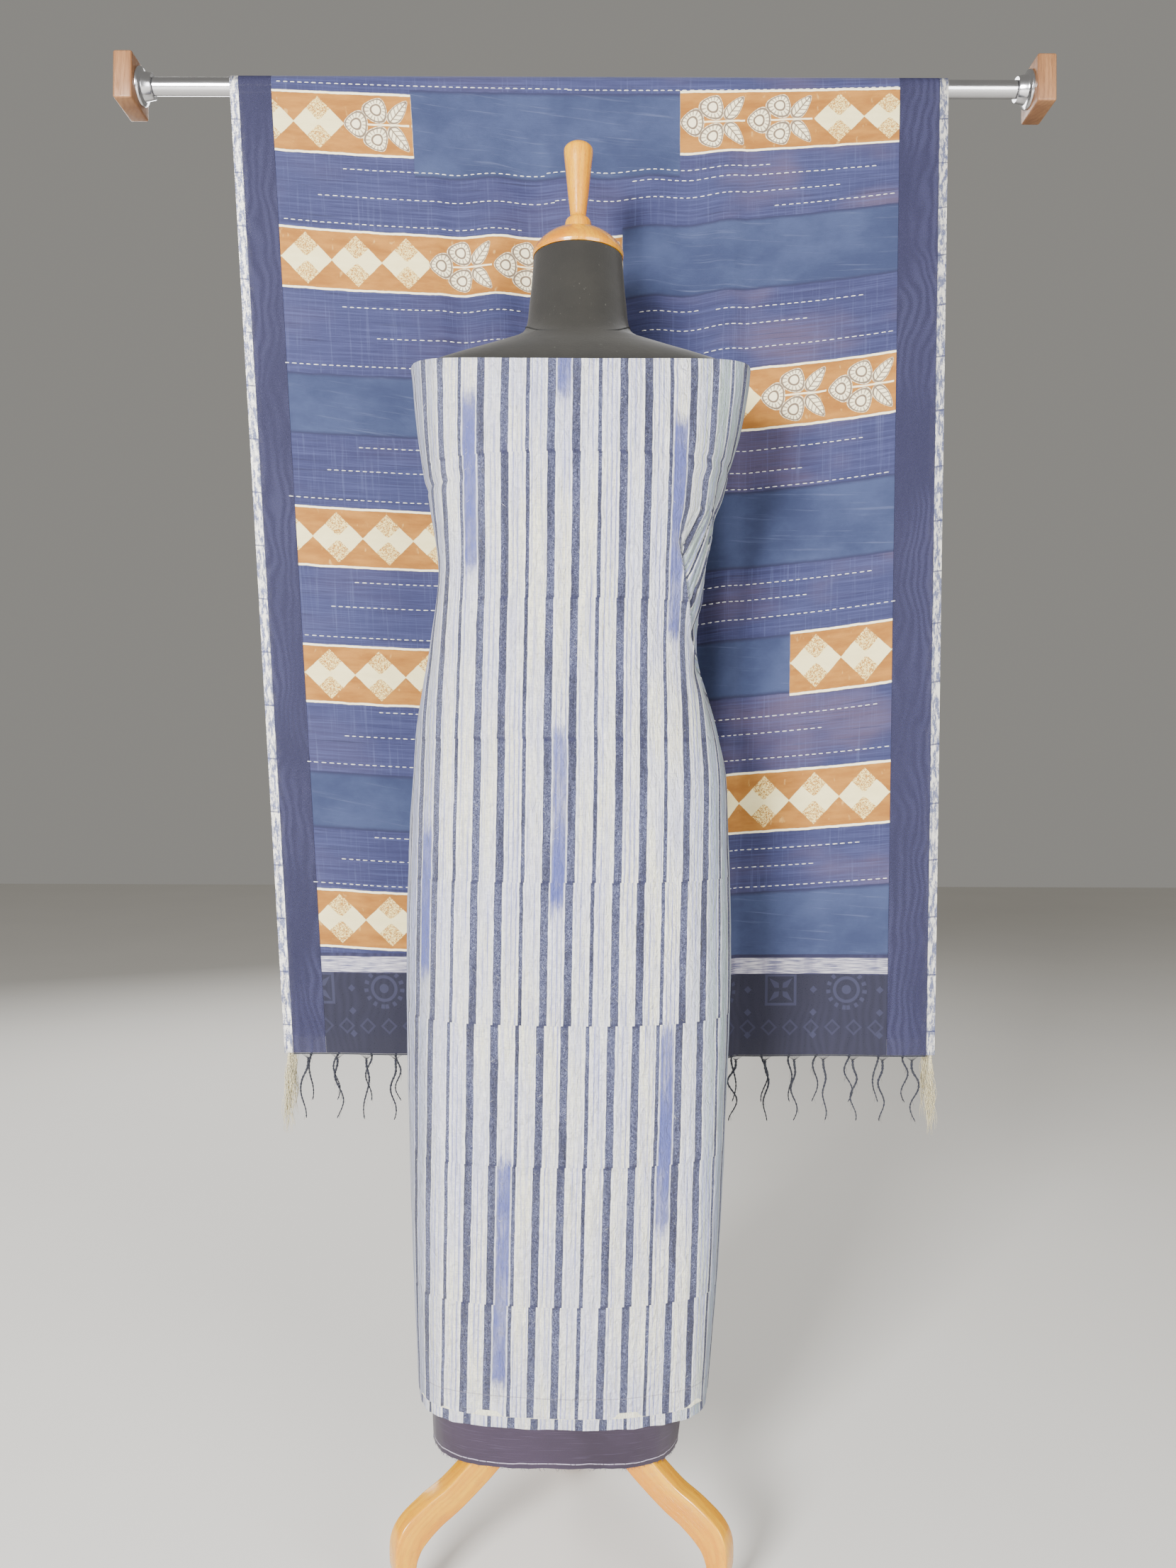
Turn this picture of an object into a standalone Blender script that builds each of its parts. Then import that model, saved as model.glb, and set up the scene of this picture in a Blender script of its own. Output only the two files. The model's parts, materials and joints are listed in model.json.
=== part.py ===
"""Three-piece salwar kameez set on a limbless dress form, with its dupatta on a rail behind it.

Metres, +Z up. The floor is z = 0, the rail is centred on x = 0, and the viewer stands at -Y.
The kameez cloth is folded at its top edge and wrapped round the form, the salwar cloth hangs
below it, and the dupatta lies over the rail with one fall in front and one behind.
"""
import math
from collections import namedtuple

import bmesh
import bpy
from mathutils import Matrix, Vector

# Named columns of the tables below
LegStation = namedtuple("LegStation", "radius height width")
Section = namedtuple("Section", "height left right front back squareness")
PullFold = namedtuple("PullFold", "angle_top height_top angle_foot height_foot depth half_width")
Strip = namedtuple("Strip", "start end columns")
LockStep = namedtuple("LockStep", "length_share width_factor wall_factor")
Finish = namedtuple("Finish", "colour roughness metallic")

WALL = 0.0012
SEAM_GAP = 0.0003
LAYER = WALL + SEAM_GAP
NORMAL_STEP = 0.004

# Stand: three sawn cabriole legs round a turned hub, and a pole up into the form
LEG_AZIMUTHS = {"leg_front_left": 210.0, "leg_front_right": 330.0, "leg_back": 90.0}
LEG_THICKNESS = 0.022
FOOT_CENTRE_RADIUS = 0.198
FOOT_WIDTH = 0.034
HUB_RADIUS = 0.034
HUB_BOTTOM = 0.140
HUB_TOP = 0.206
HUB_PROFILE = (
    (0.0000, HUB_TOP),
    (0.0270, HUB_TOP),
    (HUB_RADIUS, 0.193),
    (HUB_RADIUS, 0.146),
    (0.0200, HUB_BOTTOM),
    (0.0000, HUB_BOTTOM),
)
POLE_RADIUS = 0.015
LEG_STATIONS = (
    (HUB_RADIUS + SEAM_GAP, 0.165, 0.036),
    (0.062, 0.162, 0.036),
    (0.086, 0.150, 0.035),
    (0.110, 0.132, 0.034),
    (0.140, 0.112, 0.033),
    (0.166, 0.099, 0.034),
    (0.188, 0.082, 0.035),
    (0.1955, 0.058, 0.025),
    (0.194, 0.034, 0.020),
    (FOOT_CENTRE_RADIUS, 0.013, 0.028),
    (FOOT_CENTRE_RADIUS, 0.000, FOOT_WIDTH),
)

# The form stands a little left of the rail's middle, and far enough forward that
# the box round the whole part is centred on the origin
FOOT_REACH = FOOT_CENTRE_RADIUS + FOOT_WIDTH / 2
FRONT_REACH = FOOT_REACH * 0.5 + LEG_THICKNESS / 2 * math.sqrt(0.75)
FORM_X = -0.0065
STAND_X = FORM_X - 0.012
FORM_Y = -(FOOT_REACH - FRONT_REACH) / 2

# Sections of the form, measured from its own axis. Columns: Section
FORM_SECTIONS = (
    (0.690, 0.1300, 0.1300, 0.0830, 0.0830, 2.3),
    (0.704, 0.1420, 0.1420, 0.0910, 0.0910, 2.3),
    (0.760, 0.1560, 0.1560, 0.0990, 0.0980, 2.3),
    (0.840, 0.1580, 0.1580, 0.1020, 0.1000, 2.3),
    (0.940, 0.1480, 0.1480, 0.0940, 0.0930, 2.3),
    (1.050, 0.1270, 0.1270, 0.0790, 0.0780, 2.2),
    (1.130, 0.1330, 0.1330, 0.0830, 0.0800, 2.2),
    (1.215, 0.1580, 0.1580, 0.1020, 0.0890, 2.3),
    (1.285, 0.1800, 0.1800, 0.1095, 0.0935, 2.5),
    (1.342, 0.1860, 0.1860, 0.0965, 0.0830, 2.5),
    (1.362, 0.1790, 0.1790, 0.0850, 0.0770, 2.3),
    (1.377, 0.1370, 0.1370, 0.0740, 0.0700, 2.2),
    (1.390, 0.0900, 0.0900, 0.0630, 0.0640, 2.1),
    (1.404, 0.0640, 0.0640, 0.0590, 0.0600, 2.0),
    (1.440, 0.0560, 0.0560, 0.0550, 0.0560, 2.0),
    (1.494, 0.0510, 0.0510, 0.0510, 0.0510, 2.0),
)

# Sections of the kameez cloth's outer face, from the same axis. Columns: Section
KAMEEZ_SECTIONS = (
    (0.203, 0.1790, 0.1550, 0.0880, 0.0900, 2.7),
    (0.350, 0.1860, 0.1665, 0.0975, 0.0985, 2.7),
    (0.530, 0.1907, 0.1745, 0.1060, 0.1060, 2.7),
    (0.700, 0.1930, 0.1785, 0.1120, 0.1120, 2.6),
    (0.840, 0.1900, 0.1745, 0.1130, 0.1110, 2.6),
    (0.900, 0.1865, 0.1720, 0.1110, 0.1080, 2.6),
    (0.945, 0.1840, 0.1640, 0.1080, 0.1040, 2.5),
    (0.985, 0.1790, 0.1530, 0.1030, 0.1000, 2.5),
    (1.020, 0.1730, 0.1435, 0.0985, 0.0950, 2.5),
    (1.055, 0.1675, 0.1400, 0.0955, 0.0920, 2.5),
    (1.090, 0.1625, 0.1440, 0.0945, 0.0910, 2.5),
    (1.130, 0.1590, 0.1490, 0.0960, 0.0910, 2.5),
    (1.175, 0.1645, 0.1580, 0.1030, 0.0930, 2.5),
    (1.215, 0.1715, 0.1680, 0.1095, 0.0960, 2.5),
    (1.250, 0.1780, 0.1765, 0.1140, 0.0975, 2.5),
    (1.285, 0.1836, 0.1870, 0.1130, 0.0970, 2.5),
    (1.320, 0.1880, 0.1960, 0.1080, 0.0920, 2.5),
    (1.345, 0.1915, 0.1990, 0.1015, 0.0870, 2.5),
)
INNER_HEM_DROP = 0.013
SIDE_RISE = 0.016
SIDE_RISE_FADE = 0.075
TOP_LIP = 0.006
FOLD_RADIUS = WALL + SEAM_GAP / 2
FOLD_STEPS = 3
FOLDED_FROM = 0.625
FOLDED_TO = 0.775
PLAIN_COLUMNS = 18
FOLDED_COLUMNS = 12
REST_COLUMNS = 6
WRAP_COLUMNS = 3
WRAP_LIFT = 0.0050
WRAP_RAMP = 0.10

# Pull folds that fan out from the right of the waist. Angles are degrees from
# straight ahead towards the right side. Columns: PullFold
PULL_FOLDS = (
    (88.0, 1.150, 60.0, 1.262, 0.0032, 0.010),
    (92.0, 1.120, 66.0, 1.190, 0.0034, 0.009),
    (90.0, 1.085, 56.0, 1.045, 0.0036, 0.010),
    (88.0, 1.065, 58.0, 0.985, 0.0040, 0.011),
    (86.0, 1.050, 66.0, 0.925, 0.0040, 0.012),
    (92.0, 1.040, 78.0, 0.880, 0.0036, 0.012),
)
PULL_FOLD_BODY_RADIUS = 0.150
PULL_FOLD_RUN_IN = 0.2
PULL_FOLD_FULL = 0.25
PULL_FOLD_FADE = 0.45

SALWAR_SECTIONS = (
    (0.146, 0.1615, 0.1205, 0.0840, 0.0820, 2.9),
    (0.200, 0.1650, 0.1270, 0.0845, 0.0840, 2.7),
    (0.350, 0.1730, 0.1430, 0.0910, 0.0900, 2.6),
    (0.530, 0.1820, 0.1620, 0.1000, 0.0990, 2.5),
    (0.700, 0.1855, 0.1705, 0.1060, 0.1050, 2.5),
    (0.840, 0.1790, 0.1660, 0.1070, 0.1040, 2.5),
    (0.940, 0.1620, 0.1560, 0.0995, 0.0970, 2.4),
    (1.050, 0.1285, 0.1285, 0.0805, 0.0795, 2.2),
)
SALWAR_PARTING_LEFT = 0.0150
SALWAR_PARTING_RIGHT = 0.0050
SALWAR_PARTING_TOP = 0.300
SALWAR_PARTING_FULL = 0.200
SALWAR_EDGE = 0.0006

# Head of the form: a domed wooden disc and a turned handle, radius against height
NECK_CAP_PROFILE = (
    (0.0000, 1.5266),
    (0.0152, 1.5262),
    (0.0316, 1.5212),
    (0.0440, 1.5120),
    (0.0510, 1.5030),
    (0.0528, 1.4985),
    (0.0520, 1.4945),
    (0.0000, 1.4945),
)
FINIAL_PROFILE = (
    (0.0000, 1.6278),
    (0.0100, 1.6270),
    (0.0158, 1.6225),
    (0.0168, 1.6160),
    (0.0148, 1.5970),
    (0.0122, 1.5710),
    (0.0092, 1.5450),
    (0.0100, 1.5425),
    (0.0140, 1.5385),
    (0.0153, 1.5330),
    (0.0152, 1.5269),
    (0.0000, 1.5269),
)
TURNING_STEPS = 20

# Rail
RAIL_Y = FORM_Y + 0.155
RAIL_Z = 1.780
ROD_RADIUS = 0.011
BLOCK_OUTER_X = 0.596
BLOCK_THICKNESS = 0.024
BLOCK_SIDE = 0.060
BLOCK_EDGE = 0.0025
FLANGE_DEPTH = 0.017
FLANGE_PROFILE = (
    (0.0000, FLANGE_DEPTH),
    (0.0155, FLANGE_DEPTH),
    (0.0175, 0.0065),
    (0.0235, 0.0035),
    (0.0235, 0.0000),
    (0.0000, 0.0000),
)

# Dupatta: distances across run from its left selvedge, distances down from the top of the rod
DUPATTA_WIDTH = 0.920
DUPATTA_RADIUS = ROD_RADIUS + 2 * SEAM_GAP + WALL
QUARTER_TURN = DUPATTA_RADIUS * math.pi / 2
FRONT_HEM_HEIGHT = 0.540
BACK_HEM_HEIGHT = 0.557
PANEL_END_HEIGHT = 0.668
LEFT_EDGE_TOP = -0.454
LEFT_EDGE_HEM = -0.379
RIGHT_EDGE_TOP = 0.4645
RIGHT_EDGE_HEM = 0.4510
SELVEDGE = 0.011
LEFT_BORDER = 0.053
RIGHT_BORDER = 0.858
GATHER_START = 0.255
GATHER_END = 0.665
GATHER_WAVES = 4
COLUMNS_PER_WAVE = 5
SIDE_COLUMNS = 3
GATHER_FULLNESS = 0.85
SETTLE_LENGTH = 0.12
SWAY_DEPTH = 0.0022
SWAY_WAVES = 5.0
# Strips beside the printed panel. Columns: Strip
STRIPS = {
    "selvedge_left": (0.0, SELVEDGE, 1),
    "border_left": (SELVEDGE, LEFT_BORDER, 2),
    "border_right": (RIGHT_BORDER, DUPATTA_WIDTH - SELVEDGE, 2),
    "selvedge_right": (DUPATTA_WIDTH - SELVEDGE, DUPATTA_WIDTH, 1),
}
OVER_ROD_STEPS = 4
TOP_SEAM = 0.0005
FALL_ROWS = 6
END_ROWS = 2

# Fringe and corner tassels
LOCKS = 24
LOCK_WIDTH = 0.005
LOCK_LENGTH = 0.084
LOCK_LEAN = 0.003
LOCK_LEAN_PHASE = 2.4
LOCK_STEPS = ((0.45, 1.0, 1.7), (0.55, 0.45, 0.42))
STRIP_HEIGHT = 0.003
STRIP_WALL = 0.0024
TASSEL_PROFILE = (
    (0.0000, 0.0000),
    (0.0026, -0.0010),
    (0.0042, -0.0060),
    (0.0030, -0.0120),
    (0.0056, -0.0240),
    (0.0068, -0.1020),
    (0.0000, -0.1040),
)
TASSEL_STEPS = 10

# Columns: Finish
COLOURS = {
    "kameez_cotton": ((0.74, 0.73, 0.72), 0.85, 0.0),
    "salwar_cotton": ((0.070, 0.050, 0.095), 0.85, 0.0),
    "dupatta_print": ((0.055, 0.075, 0.205), 0.80, 0.0),
    "dupatta_sheer": ((0.030, 0.035, 0.110), 0.75, 0.0),
    "zari": ((0.55, 0.55, 0.58), 0.45, 0.3),
    "fringe_thread": ((0.020, 0.020, 0.050), 0.85, 0.0),
    "tassel_thread": ((0.62, 0.60, 0.55), 0.70, 0.1),
    "form_cover": ((0.045, 0.042, 0.039), 0.90, 0.0),
    "varnished_wood": ((0.76, 0.35, 0.065), 0.25, 0.0),
    "block_walnut": ((0.16, 0.09, 0.045), 0.45, 0.0),
    "chrome": ((0.80, 0.80, 0.80), 0.12, 1.0),
}


def clear_scene():
    """Empty the file of every object."""
    for old in list(bpy.data.objects):
        bpy.data.objects.remove(old, do_unlink=True)


def make_material(name):
    """One Principled material from the colour table."""
    finish = Finish(*COLOURS[name])
    material = bpy.data.materials.new(name)
    material.use_nodes = True
    shader = material.node_tree.nodes["Principled BSDF"]
    shader.inputs["Base Color"].default_value = (*finish.colour, 1.0)
    shader.inputs["Roughness"].default_value = finish.roughness
    shader.inputs["Metallic"].default_value = finish.metallic
    return material


def add_object(name, data, material_name):
    """Link new data to the part's collection as one named piece."""
    piece = bpy.data.objects.new(name, data)
    data.materials.append(MATERIALS[material_name])
    PART.objects.link(piece)
    return piece


def smoothstep(value, low, high):
    """0 below low, 1 above high, and a smooth ramp between."""
    share = min(max((value - low) / (high - low), 0.0), 1.0)
    return share * share * (3.0 - 2.0 * share)


def read_table(rows, key):
    """Every column of a table at one value of its first column, on smooth curves through the rows."""
    last = len(rows) - 1
    index = sum(1 for row in rows[1:last] if row[0] <= key)
    before = rows[max(index - 1, 0)]
    low = rows[index]
    high = rows[index + 1]
    after = rows[min(index + 2, last)]
    share = min(max((key - low[0]) / (high[0] - low[0]), 0.0), 1.0)
    span = high[0] - low[0]
    result = []
    for column in range(1, len(low)):
        slope_low = span * slope(before, low, high, column)
        slope_high = span * slope(low, high, after, column)
        curve = hermite(low[column], high[column], slope_low, slope_high, share)
        result.append(curve)
    return result


def slope(before, here, after, column):
    """Slope of one column through a row, from its neighbours."""
    width = after[0] - before[0]
    return (after[column] - before[column]) / width if width else 0.0


def hermite(start, end, slope_start, slope_end, share):
    """Cubic from start to end with the slopes given over the whole step."""
    s2 = share * share
    s3 = s2 * share
    return ((2 * s3 - 3 * s2 + 1) * start + (s3 - 2 * s2 + share) * slope_start
            + (3 * s2 - 2 * s3) * end + (s3 - s2) * slope_end)


def section_point(rows, turn, height):
    """A point on a tube's outer face. turn 0 is the centre back, and it runs by the left side."""
    section = Section(height, *read_table(rows, height))
    angle = math.radians(90.0 + 360.0 * turn)
    across = math.cos(angle)
    along = math.sin(angle)
    reach_x = section.right if across > 0 else section.left
    reach_y = section.back if along > 0 else section.front
    power = 2.0 / section.squareness
    x = math.copysign(abs(across) ** power, across) * reach_x
    y = math.copysign(abs(along) ** power, along) * reach_y
    return Vector((FORM_X + x, FORM_Y + y, height))


def fold_depth(turn, height):
    """How far the pull folds at the right of the waist draw the cloth in at one point."""
    angle = 360.0 * (turn - 0.5)
    here = unrolled(angle, height)
    depth = 0.0
    for row in PULL_FOLDS:
        fold = PullFold(*row)
        start = unrolled(fold.angle_top, fold.height_top)
        line = unrolled(fold.angle_foot, fold.height_foot) - start
        along = (here - start).dot(line) / line.length_squared
        aside = (here - start - line * along).length / fold.half_width
        strength = smoothstep(along, -PULL_FOLD_RUN_IN, PULL_FOLD_FULL)
        strength *= 1.0 - smoothstep(along, PULL_FOLD_FADE, 1.0)
        depth = max(depth, fold.depth * strength * math.exp(-aside * aside))
    return depth


def unrolled(angle, height):
    """A point of the body laid flat, from degrees round it and its height."""
    return Vector((math.radians(angle) * PULL_FOLD_BODY_RADIUS, height))


def side_rise(turn, height):
    """How much higher the cloth's top edge stands at the sides than in front."""
    top = KAMEEZ_SECTIONS[-1][0]
    sideways = math.sin(2.0 * math.pi * turn) ** 2
    return SIDE_RISE * sideways * smoothstep(height, top - SIDE_RISE_FADE, top)


def kameez_face(turn, height):
    """A point on the kameez cloth's outer face, with its folds and the wrap at the centre back."""
    top = KAMEEZ_SECTIONS[-1][0]
    point = section_point(KAMEEZ_SECTIONS, turn, min(height, top))
    middle = Vector((FORM_X, FORM_Y, point.z))
    outward = (point - middle).normalized()
    lift = WRAP_LIFT * smoothstep(turn, 1.0 - WRAP_RAMP, 1.0)
    point += outward * (lift - fold_depth(turn, height))
    point.z = height + side_rise(turn, height)
    return point


def salwar_face(turn, height):
    """A point on the salwar cloth's outer face. Its edges meet at the back and part over the back leg."""
    parting = 1.0 - smoothstep(height, SALWAR_PARTING_FULL, SALWAR_PARTING_TOP)
    start = SALWAR_EDGE + SALWAR_PARTING_LEFT * parting
    end = 1.0 - SALWAR_EDGE - SALWAR_PARTING_RIGHT * parting
    return section_point(SALWAR_SECTIONS, start + (end - start) * turn, height)


def inset_point(face, turn, height, inset):
    """A point of a face, moved in from it by a distance along its normal."""
    if not inset:
        return face(turn, height)
    along = face(turn + NORMAL_STEP, height) - face(turn - NORMAL_STEP, height)
    upward = face(turn, height + NORMAL_STEP) - face(turn, height - NORMAL_STEP)
    return face(turn, height) - along.cross(upward).normalized() * inset


def sheet(name, columns, rows, place, material_name, wall=WALL):
    """An open cloth surface placed by a function of its columns and rows, given its wall inwards."""
    bm = bmesh.new()
    across = len(columns) - 1
    upward = len(rows) - 1
    bmesh.ops.create_grid(bm, x_segments=across, y_segments=upward, size=1.0)
    for vert in bm.verts:
        column = round((vert.co.x + 1.0) / 2.0 * across)
        row = round((vert.co.y + 1.0) / 2.0 * upward)
        vert.co = place(columns[column], rows[row])
    mesh = bpy.data.meshes.new(name)
    bm.to_mesh(mesh)
    bm.free()
    piece = add_object(name, mesh, material_name)
    solid = piece.modifiers.new("cloth_wall", "SOLIDIFY")
    solid.thickness = wall
    solid.offset = -1.0
    solid.use_even_offset = False
    mesh.shade_smooth()
    return piece


def spread(low, high, count):
    """count + 1 even values from low to high."""
    return [low + (high - low) * step / count for step in range(count + 1)]


def wrap_columns():
    """Turns round the wrapped cloth, closer together over the pull folds."""
    plain = spread(0.0, FOLDED_FROM, PLAIN_COLUMNS)
    folded = spread(FOLDED_FROM, FOLDED_TO, FOLDED_COLUMNS)
    rest = spread(FOLDED_TO, 1.0, REST_COLUMNS)
    lapped = [1.0 + turn for turn in plain[1:WRAP_COLUMNS + 1]]
    return plain + folded[1:] + rest[1:] + lapped


def closed_columns():
    """The same turns without the lap."""
    return wrap_columns()[:PLAIN_COLUMNS + FOLDED_COLUMNS + REST_COLUMNS + 1]


def build_kameez():
    """The kameez cloth: an outer layer with the fold at its top edge, and the layer inside it."""
    columns = wrap_columns()
    top = KAMEEZ_SECTIONS[-1][0]
    heights = [row[0] for row in KAMEEZ_SECTIONS]
    fold = [("fold", 180.0 * step / FOLD_STEPS) for step in range(1, FOLD_STEPS + 1)]
    rows = [("flat", height) for height in heights] + fold + [("lip", top - TOP_LIP)]

    def outer_place(turn, row):
        kind, value = row
        if kind == "flat":
            return kameez_face(turn, value)
        if kind == "lip":
            return inset_point(kameez_face, turn, value, 2 * FOLD_RADIUS)
        angle = math.radians(value)
        point = inset_point(kameez_face, turn, top, FOLD_RADIUS * (1.0 - math.cos(angle)))
        point.z += FOLD_RADIUS * math.sin(angle)
        return point

    def inner_place(turn, height):
        return inset_point(kameez_face, turn, height, LAYER + SEAM_GAP)

    sheet("kameez_outer_layer", columns, rows, outer_place, "kameez_cotton")
    inner_top = top - TOP_LIP - SEAM_GAP
    inner_heights = [heights[0] - INNER_HEM_DROP] + heights[:-1] + [inner_top]
    sheet("kameez_inner_layer", columns, inner_heights, inner_place, "kameez_cotton")


def build_salwar():
    """The plain salwar cloth, tucked at the waist inside the kameez."""
    heights = [row[0] for row in SALWAR_SECTIONS]
    sheet("salwar_cloth", closed_columns(), heights, salwar_face, "salwar_cotton")


def build_form():
    """The torso and neck of the dress form, closed at the bottom and at the neck."""
    turns = closed_columns()[:-1]
    heights = [row[0] for row in FORM_SECTIONS]
    steps = len(heights) - 1
    bm = bmesh.new()
    bmesh.ops.create_cone(bm, cap_ends=True, segments=len(turns), radius1=1.0, radius2=1.0, depth=2.0)
    walls = [edge for edge in bm.edges if edge.verts[0].co.z * edge.verts[1].co.z < 0]
    bmesh.ops.subdivide_edges(bm, edges=walls, cuts=steps - 1)
    for vert in bm.verts:
        angle = math.atan2(vert.co.y, vert.co.x) % (2.0 * math.pi)
        column = round(angle / (2.0 * math.pi) * len(turns)) % len(turns)
        level = round((vert.co.z + 1.0) / 2.0 * steps)
        vert.co = section_point(FORM_SECTIONS, turns[column], heights[level])
    mesh = bpy.data.meshes.new("form_body")
    bm.to_mesh(mesh)
    bm.free()
    mesh.shade_smooth()
    add_object("form_body", mesh, "form_cover")


def turned(name, profile, material_name, steps=TURNING_STEPS):
    """A turned piece: a profile of radius against height, given top to bottom, with a Screw modifier."""
    mesh = bpy.data.meshes.new(name)
    points = [(radius, 0.0, height) for radius, height in profile]
    edges = [(index, index + 1) for index in range(len(points) - 1)]
    mesh.from_pydata(points, edges, [])
    piece = add_object(name, mesh, material_name)
    screw = piece.modifiers.new("turning", "SCREW")
    screw.steps = steps
    screw.render_steps = steps
    screw.use_merge_vertices = True
    screw.merge_threshold = 0.00001
    return piece


def build_head():
    """The wooden cap on the neck and the turned handle above it."""
    for name, profile in (("neck_cap", NECK_CAP_PROFILE), ("finial", FINIAL_PROFILE)):
        piece = turned(name, profile, "varnished_wood")
        piece.location = (FORM_X, FORM_Y, 0.0)


def leg_outline():
    """The leg's sawn outline in its own plane, out along its upper side and back along its lower one."""
    upper = []
    lower = []
    last = len(LEG_STATIONS) - 1
    for index, row in enumerate(LEG_STATIONS):
        station = LegStation(*row)
        before = Vector(LEG_STATIONS[max(index - 1, 0)][:2])
        after = Vector(LEG_STATIONS[min(index + 1, last)][:2])
        direction = (after - before).normalized()
        if index == 0:
            direction = Vector((1.0, 0.0))
        if index == last:
            direction = Vector((0.0, -1.0))
        aside = Vector((-direction.y, direction.x)) * station.width / 2
        centre = Vector((station.radius, station.height))
        upper.append(centre + aside)
        lower.append(centre - aside)
    return upper + lower[::-1]


def build_stand():
    """The hub, the pole and three cabriole legs."""
    for name, azimuth in LEG_AZIMUTHS.items():
        curve = bpy.data.curves.new(name, "CURVE")
        curve.dimensions = "2D"
        curve.fill_mode = "BOTH"
        curve.extrude = LEG_THICKNESS / 2
        outline = curve.splines.new("POLY")
        corners = leg_outline()
        outline.points.add(len(corners) - 1)
        for point, corner in zip(outline.points, corners):
            point.co = (corner.x, corner.y, 0.0, 1.0)
        outline.use_cyclic_u = True
        leg = add_object(name, curve, "varnished_wood")
        upright = Matrix.Rotation(math.radians(azimuth), 4, "Z") @ Matrix.Rotation(math.pi / 2, 4, "X")
        leg.matrix_world = Matrix.Translation((STAND_X, FORM_Y, 0.0)) @ upright
    hub = turned("stand_hub", HUB_PROFILE, "varnished_wood", steps=24)
    hub.location = (STAND_X, FORM_Y, 0.0)
    pole_top = FORM_SECTIONS[0][0] - SEAM_GAP
    pole_foot = HUB_TOP + SEAM_GAP
    pole_profile = ((0.0, pole_top), (POLE_RADIUS, pole_top), (POLE_RADIUS, pole_foot), (0.0, pole_foot))
    pole = turned("stand_pole", pole_profile, "varnished_wood", steps=16)
    pole.location = (STAND_X, FORM_Y, 0.0)


def build_rail():
    """The rod, its cup flanges and the blocks at its ends."""
    inner_face = BLOCK_OUTER_X - BLOCK_THICKNESS
    half_rod = inner_face - FLANGE_DEPTH - 2 * SEAM_GAP
    rod_profile = ((0.0, half_rod), (ROD_RADIUS, half_rod), (ROD_RADIUS, -half_rod), (0.0, -half_rod))
    along_x = Matrix.Rotation(math.pi / 2, 4, "Y")
    rod = turned("rail_rod", rod_profile, "chrome", steps=16)
    rod.matrix_world = Matrix.Translation((0.0, RAIL_Y, RAIL_Z)) @ along_x
    for side, name in ((-1.0, "left"), (1.0, "right")):
        flange = turned(f"rail_flange_{name}", FLANGE_PROFILE, "chrome", steps=16)
        seat = Matrix.Translation((side * (inner_face - SEAM_GAP), RAIL_Y, RAIL_Z))
        flange.matrix_world = seat @ Matrix.Rotation(-side * math.pi / 2, 4, "Y")
        bm = bmesh.new()
        size = Matrix.Diagonal((BLOCK_THICKNESS, BLOCK_SIDE, BLOCK_SIDE, 1.0))
        bmesh.ops.create_cube(bm, size=1.0, matrix=size)
        mesh = bpy.data.meshes.new(f"rail_block_{name}")
        bm.to_mesh(mesh)
        bm.free()
        block = add_object(f"rail_block_{name}", mesh, "block_walnut")
        block.location = (side * (BLOCK_OUTER_X - BLOCK_THICKNESS / 2), RAIL_Y, RAIL_Z)
        edge = block.modifiers.new("eased_edges", "BEVEL")
        edge.width = BLOCK_EDGE
        edge.segments = 1


def dupatta_x(across, height):
    """Where a thread of the dupatta hangs sideways, with the cloth's narrowing taken up in the middle."""
    share = (RAIL_Z - height) / (RAIL_Z - FRONT_HEM_HEIGHT)
    left = LEFT_EDGE_TOP + (LEFT_EDGE_HEM - LEFT_EDGE_TOP) * share
    right = RIGHT_EDGE_TOP + (RIGHT_EDGE_HEM - RIGHT_EDGE_TOP) * share
    if across <= GATHER_START:
        return left + across
    if across >= GATHER_END:
        return right - (DUPATTA_WIDTH - across)
    low = left + GATHER_START
    high = right - (DUPATTA_WIDTH - GATHER_END)
    return low + (high - low) * (across - GATHER_START) / (GATHER_END - GATHER_START)


def dupatta_wave(across, height):
    """How far the dupatta's soft folds carry it back or forward at one point."""
    share = min(max((RAIL_Z - height) / (RAIL_Z - FRONT_HEM_HEIGHT), 0.0), 1.0)
    sway = SWAY_DEPTH * share * math.sin(2.0 * math.pi * SWAY_WAVES * across / DUPATTA_WIDTH)
    if not GATHER_START < across < GATHER_END:
        return sway
    narrowing = share * (LEFT_EDGE_HEM - LEFT_EDGE_TOP + RIGHT_EDGE_TOP - RIGHT_EDGE_HEM)
    zone = GATHER_END - GATHER_START
    slack = narrowing / (zone - narrowing)
    depth = zone / GATHER_WAVES / math.pi * math.sqrt(slack) * GATHER_FULLNESS
    place = (across - GATHER_START) / zone
    return sway + depth * math.sin(2.0 * math.pi * GATHER_WAVES * place)


def dupatta_face(across, down, side):
    """A point on the dupatta's outer face. side is -1 on the front fall and 1 on the back one."""
    if down < QUARTER_TURN:
        angle = down / DUPATTA_RADIUS
        y = RAIL_Y + side * DUPATTA_RADIUS * math.sin(angle)
        z = RAIL_Z + DUPATTA_RADIUS * math.cos(angle)
    else:
        z = RAIL_Z - (down - QUARTER_TURN)
        y = RAIL_Y + side * DUPATTA_RADIUS
    settle = smoothstep(down, QUARTER_TURN, QUARTER_TURN + SETTLE_LENGTH)
    y += dupatta_wave(across, z) * settle
    return Vector((dupatta_x(across, z), y, z))


def panel_columns():
    """Threads across the printed panel, closer together where it is gathered."""
    low = LEFT_BORDER + SEAM_GAP / 2
    high = RIGHT_BORDER - SEAM_GAP / 2
    left = spread(low, GATHER_START, SIDE_COLUMNS)
    middle = spread(GATHER_START, GATHER_END, COLUMNS_PER_WAVE * GATHER_WAVES)
    right = spread(GATHER_END, high, SIDE_COLUMNS)
    return left + middle[1:] + right[1:]


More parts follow.
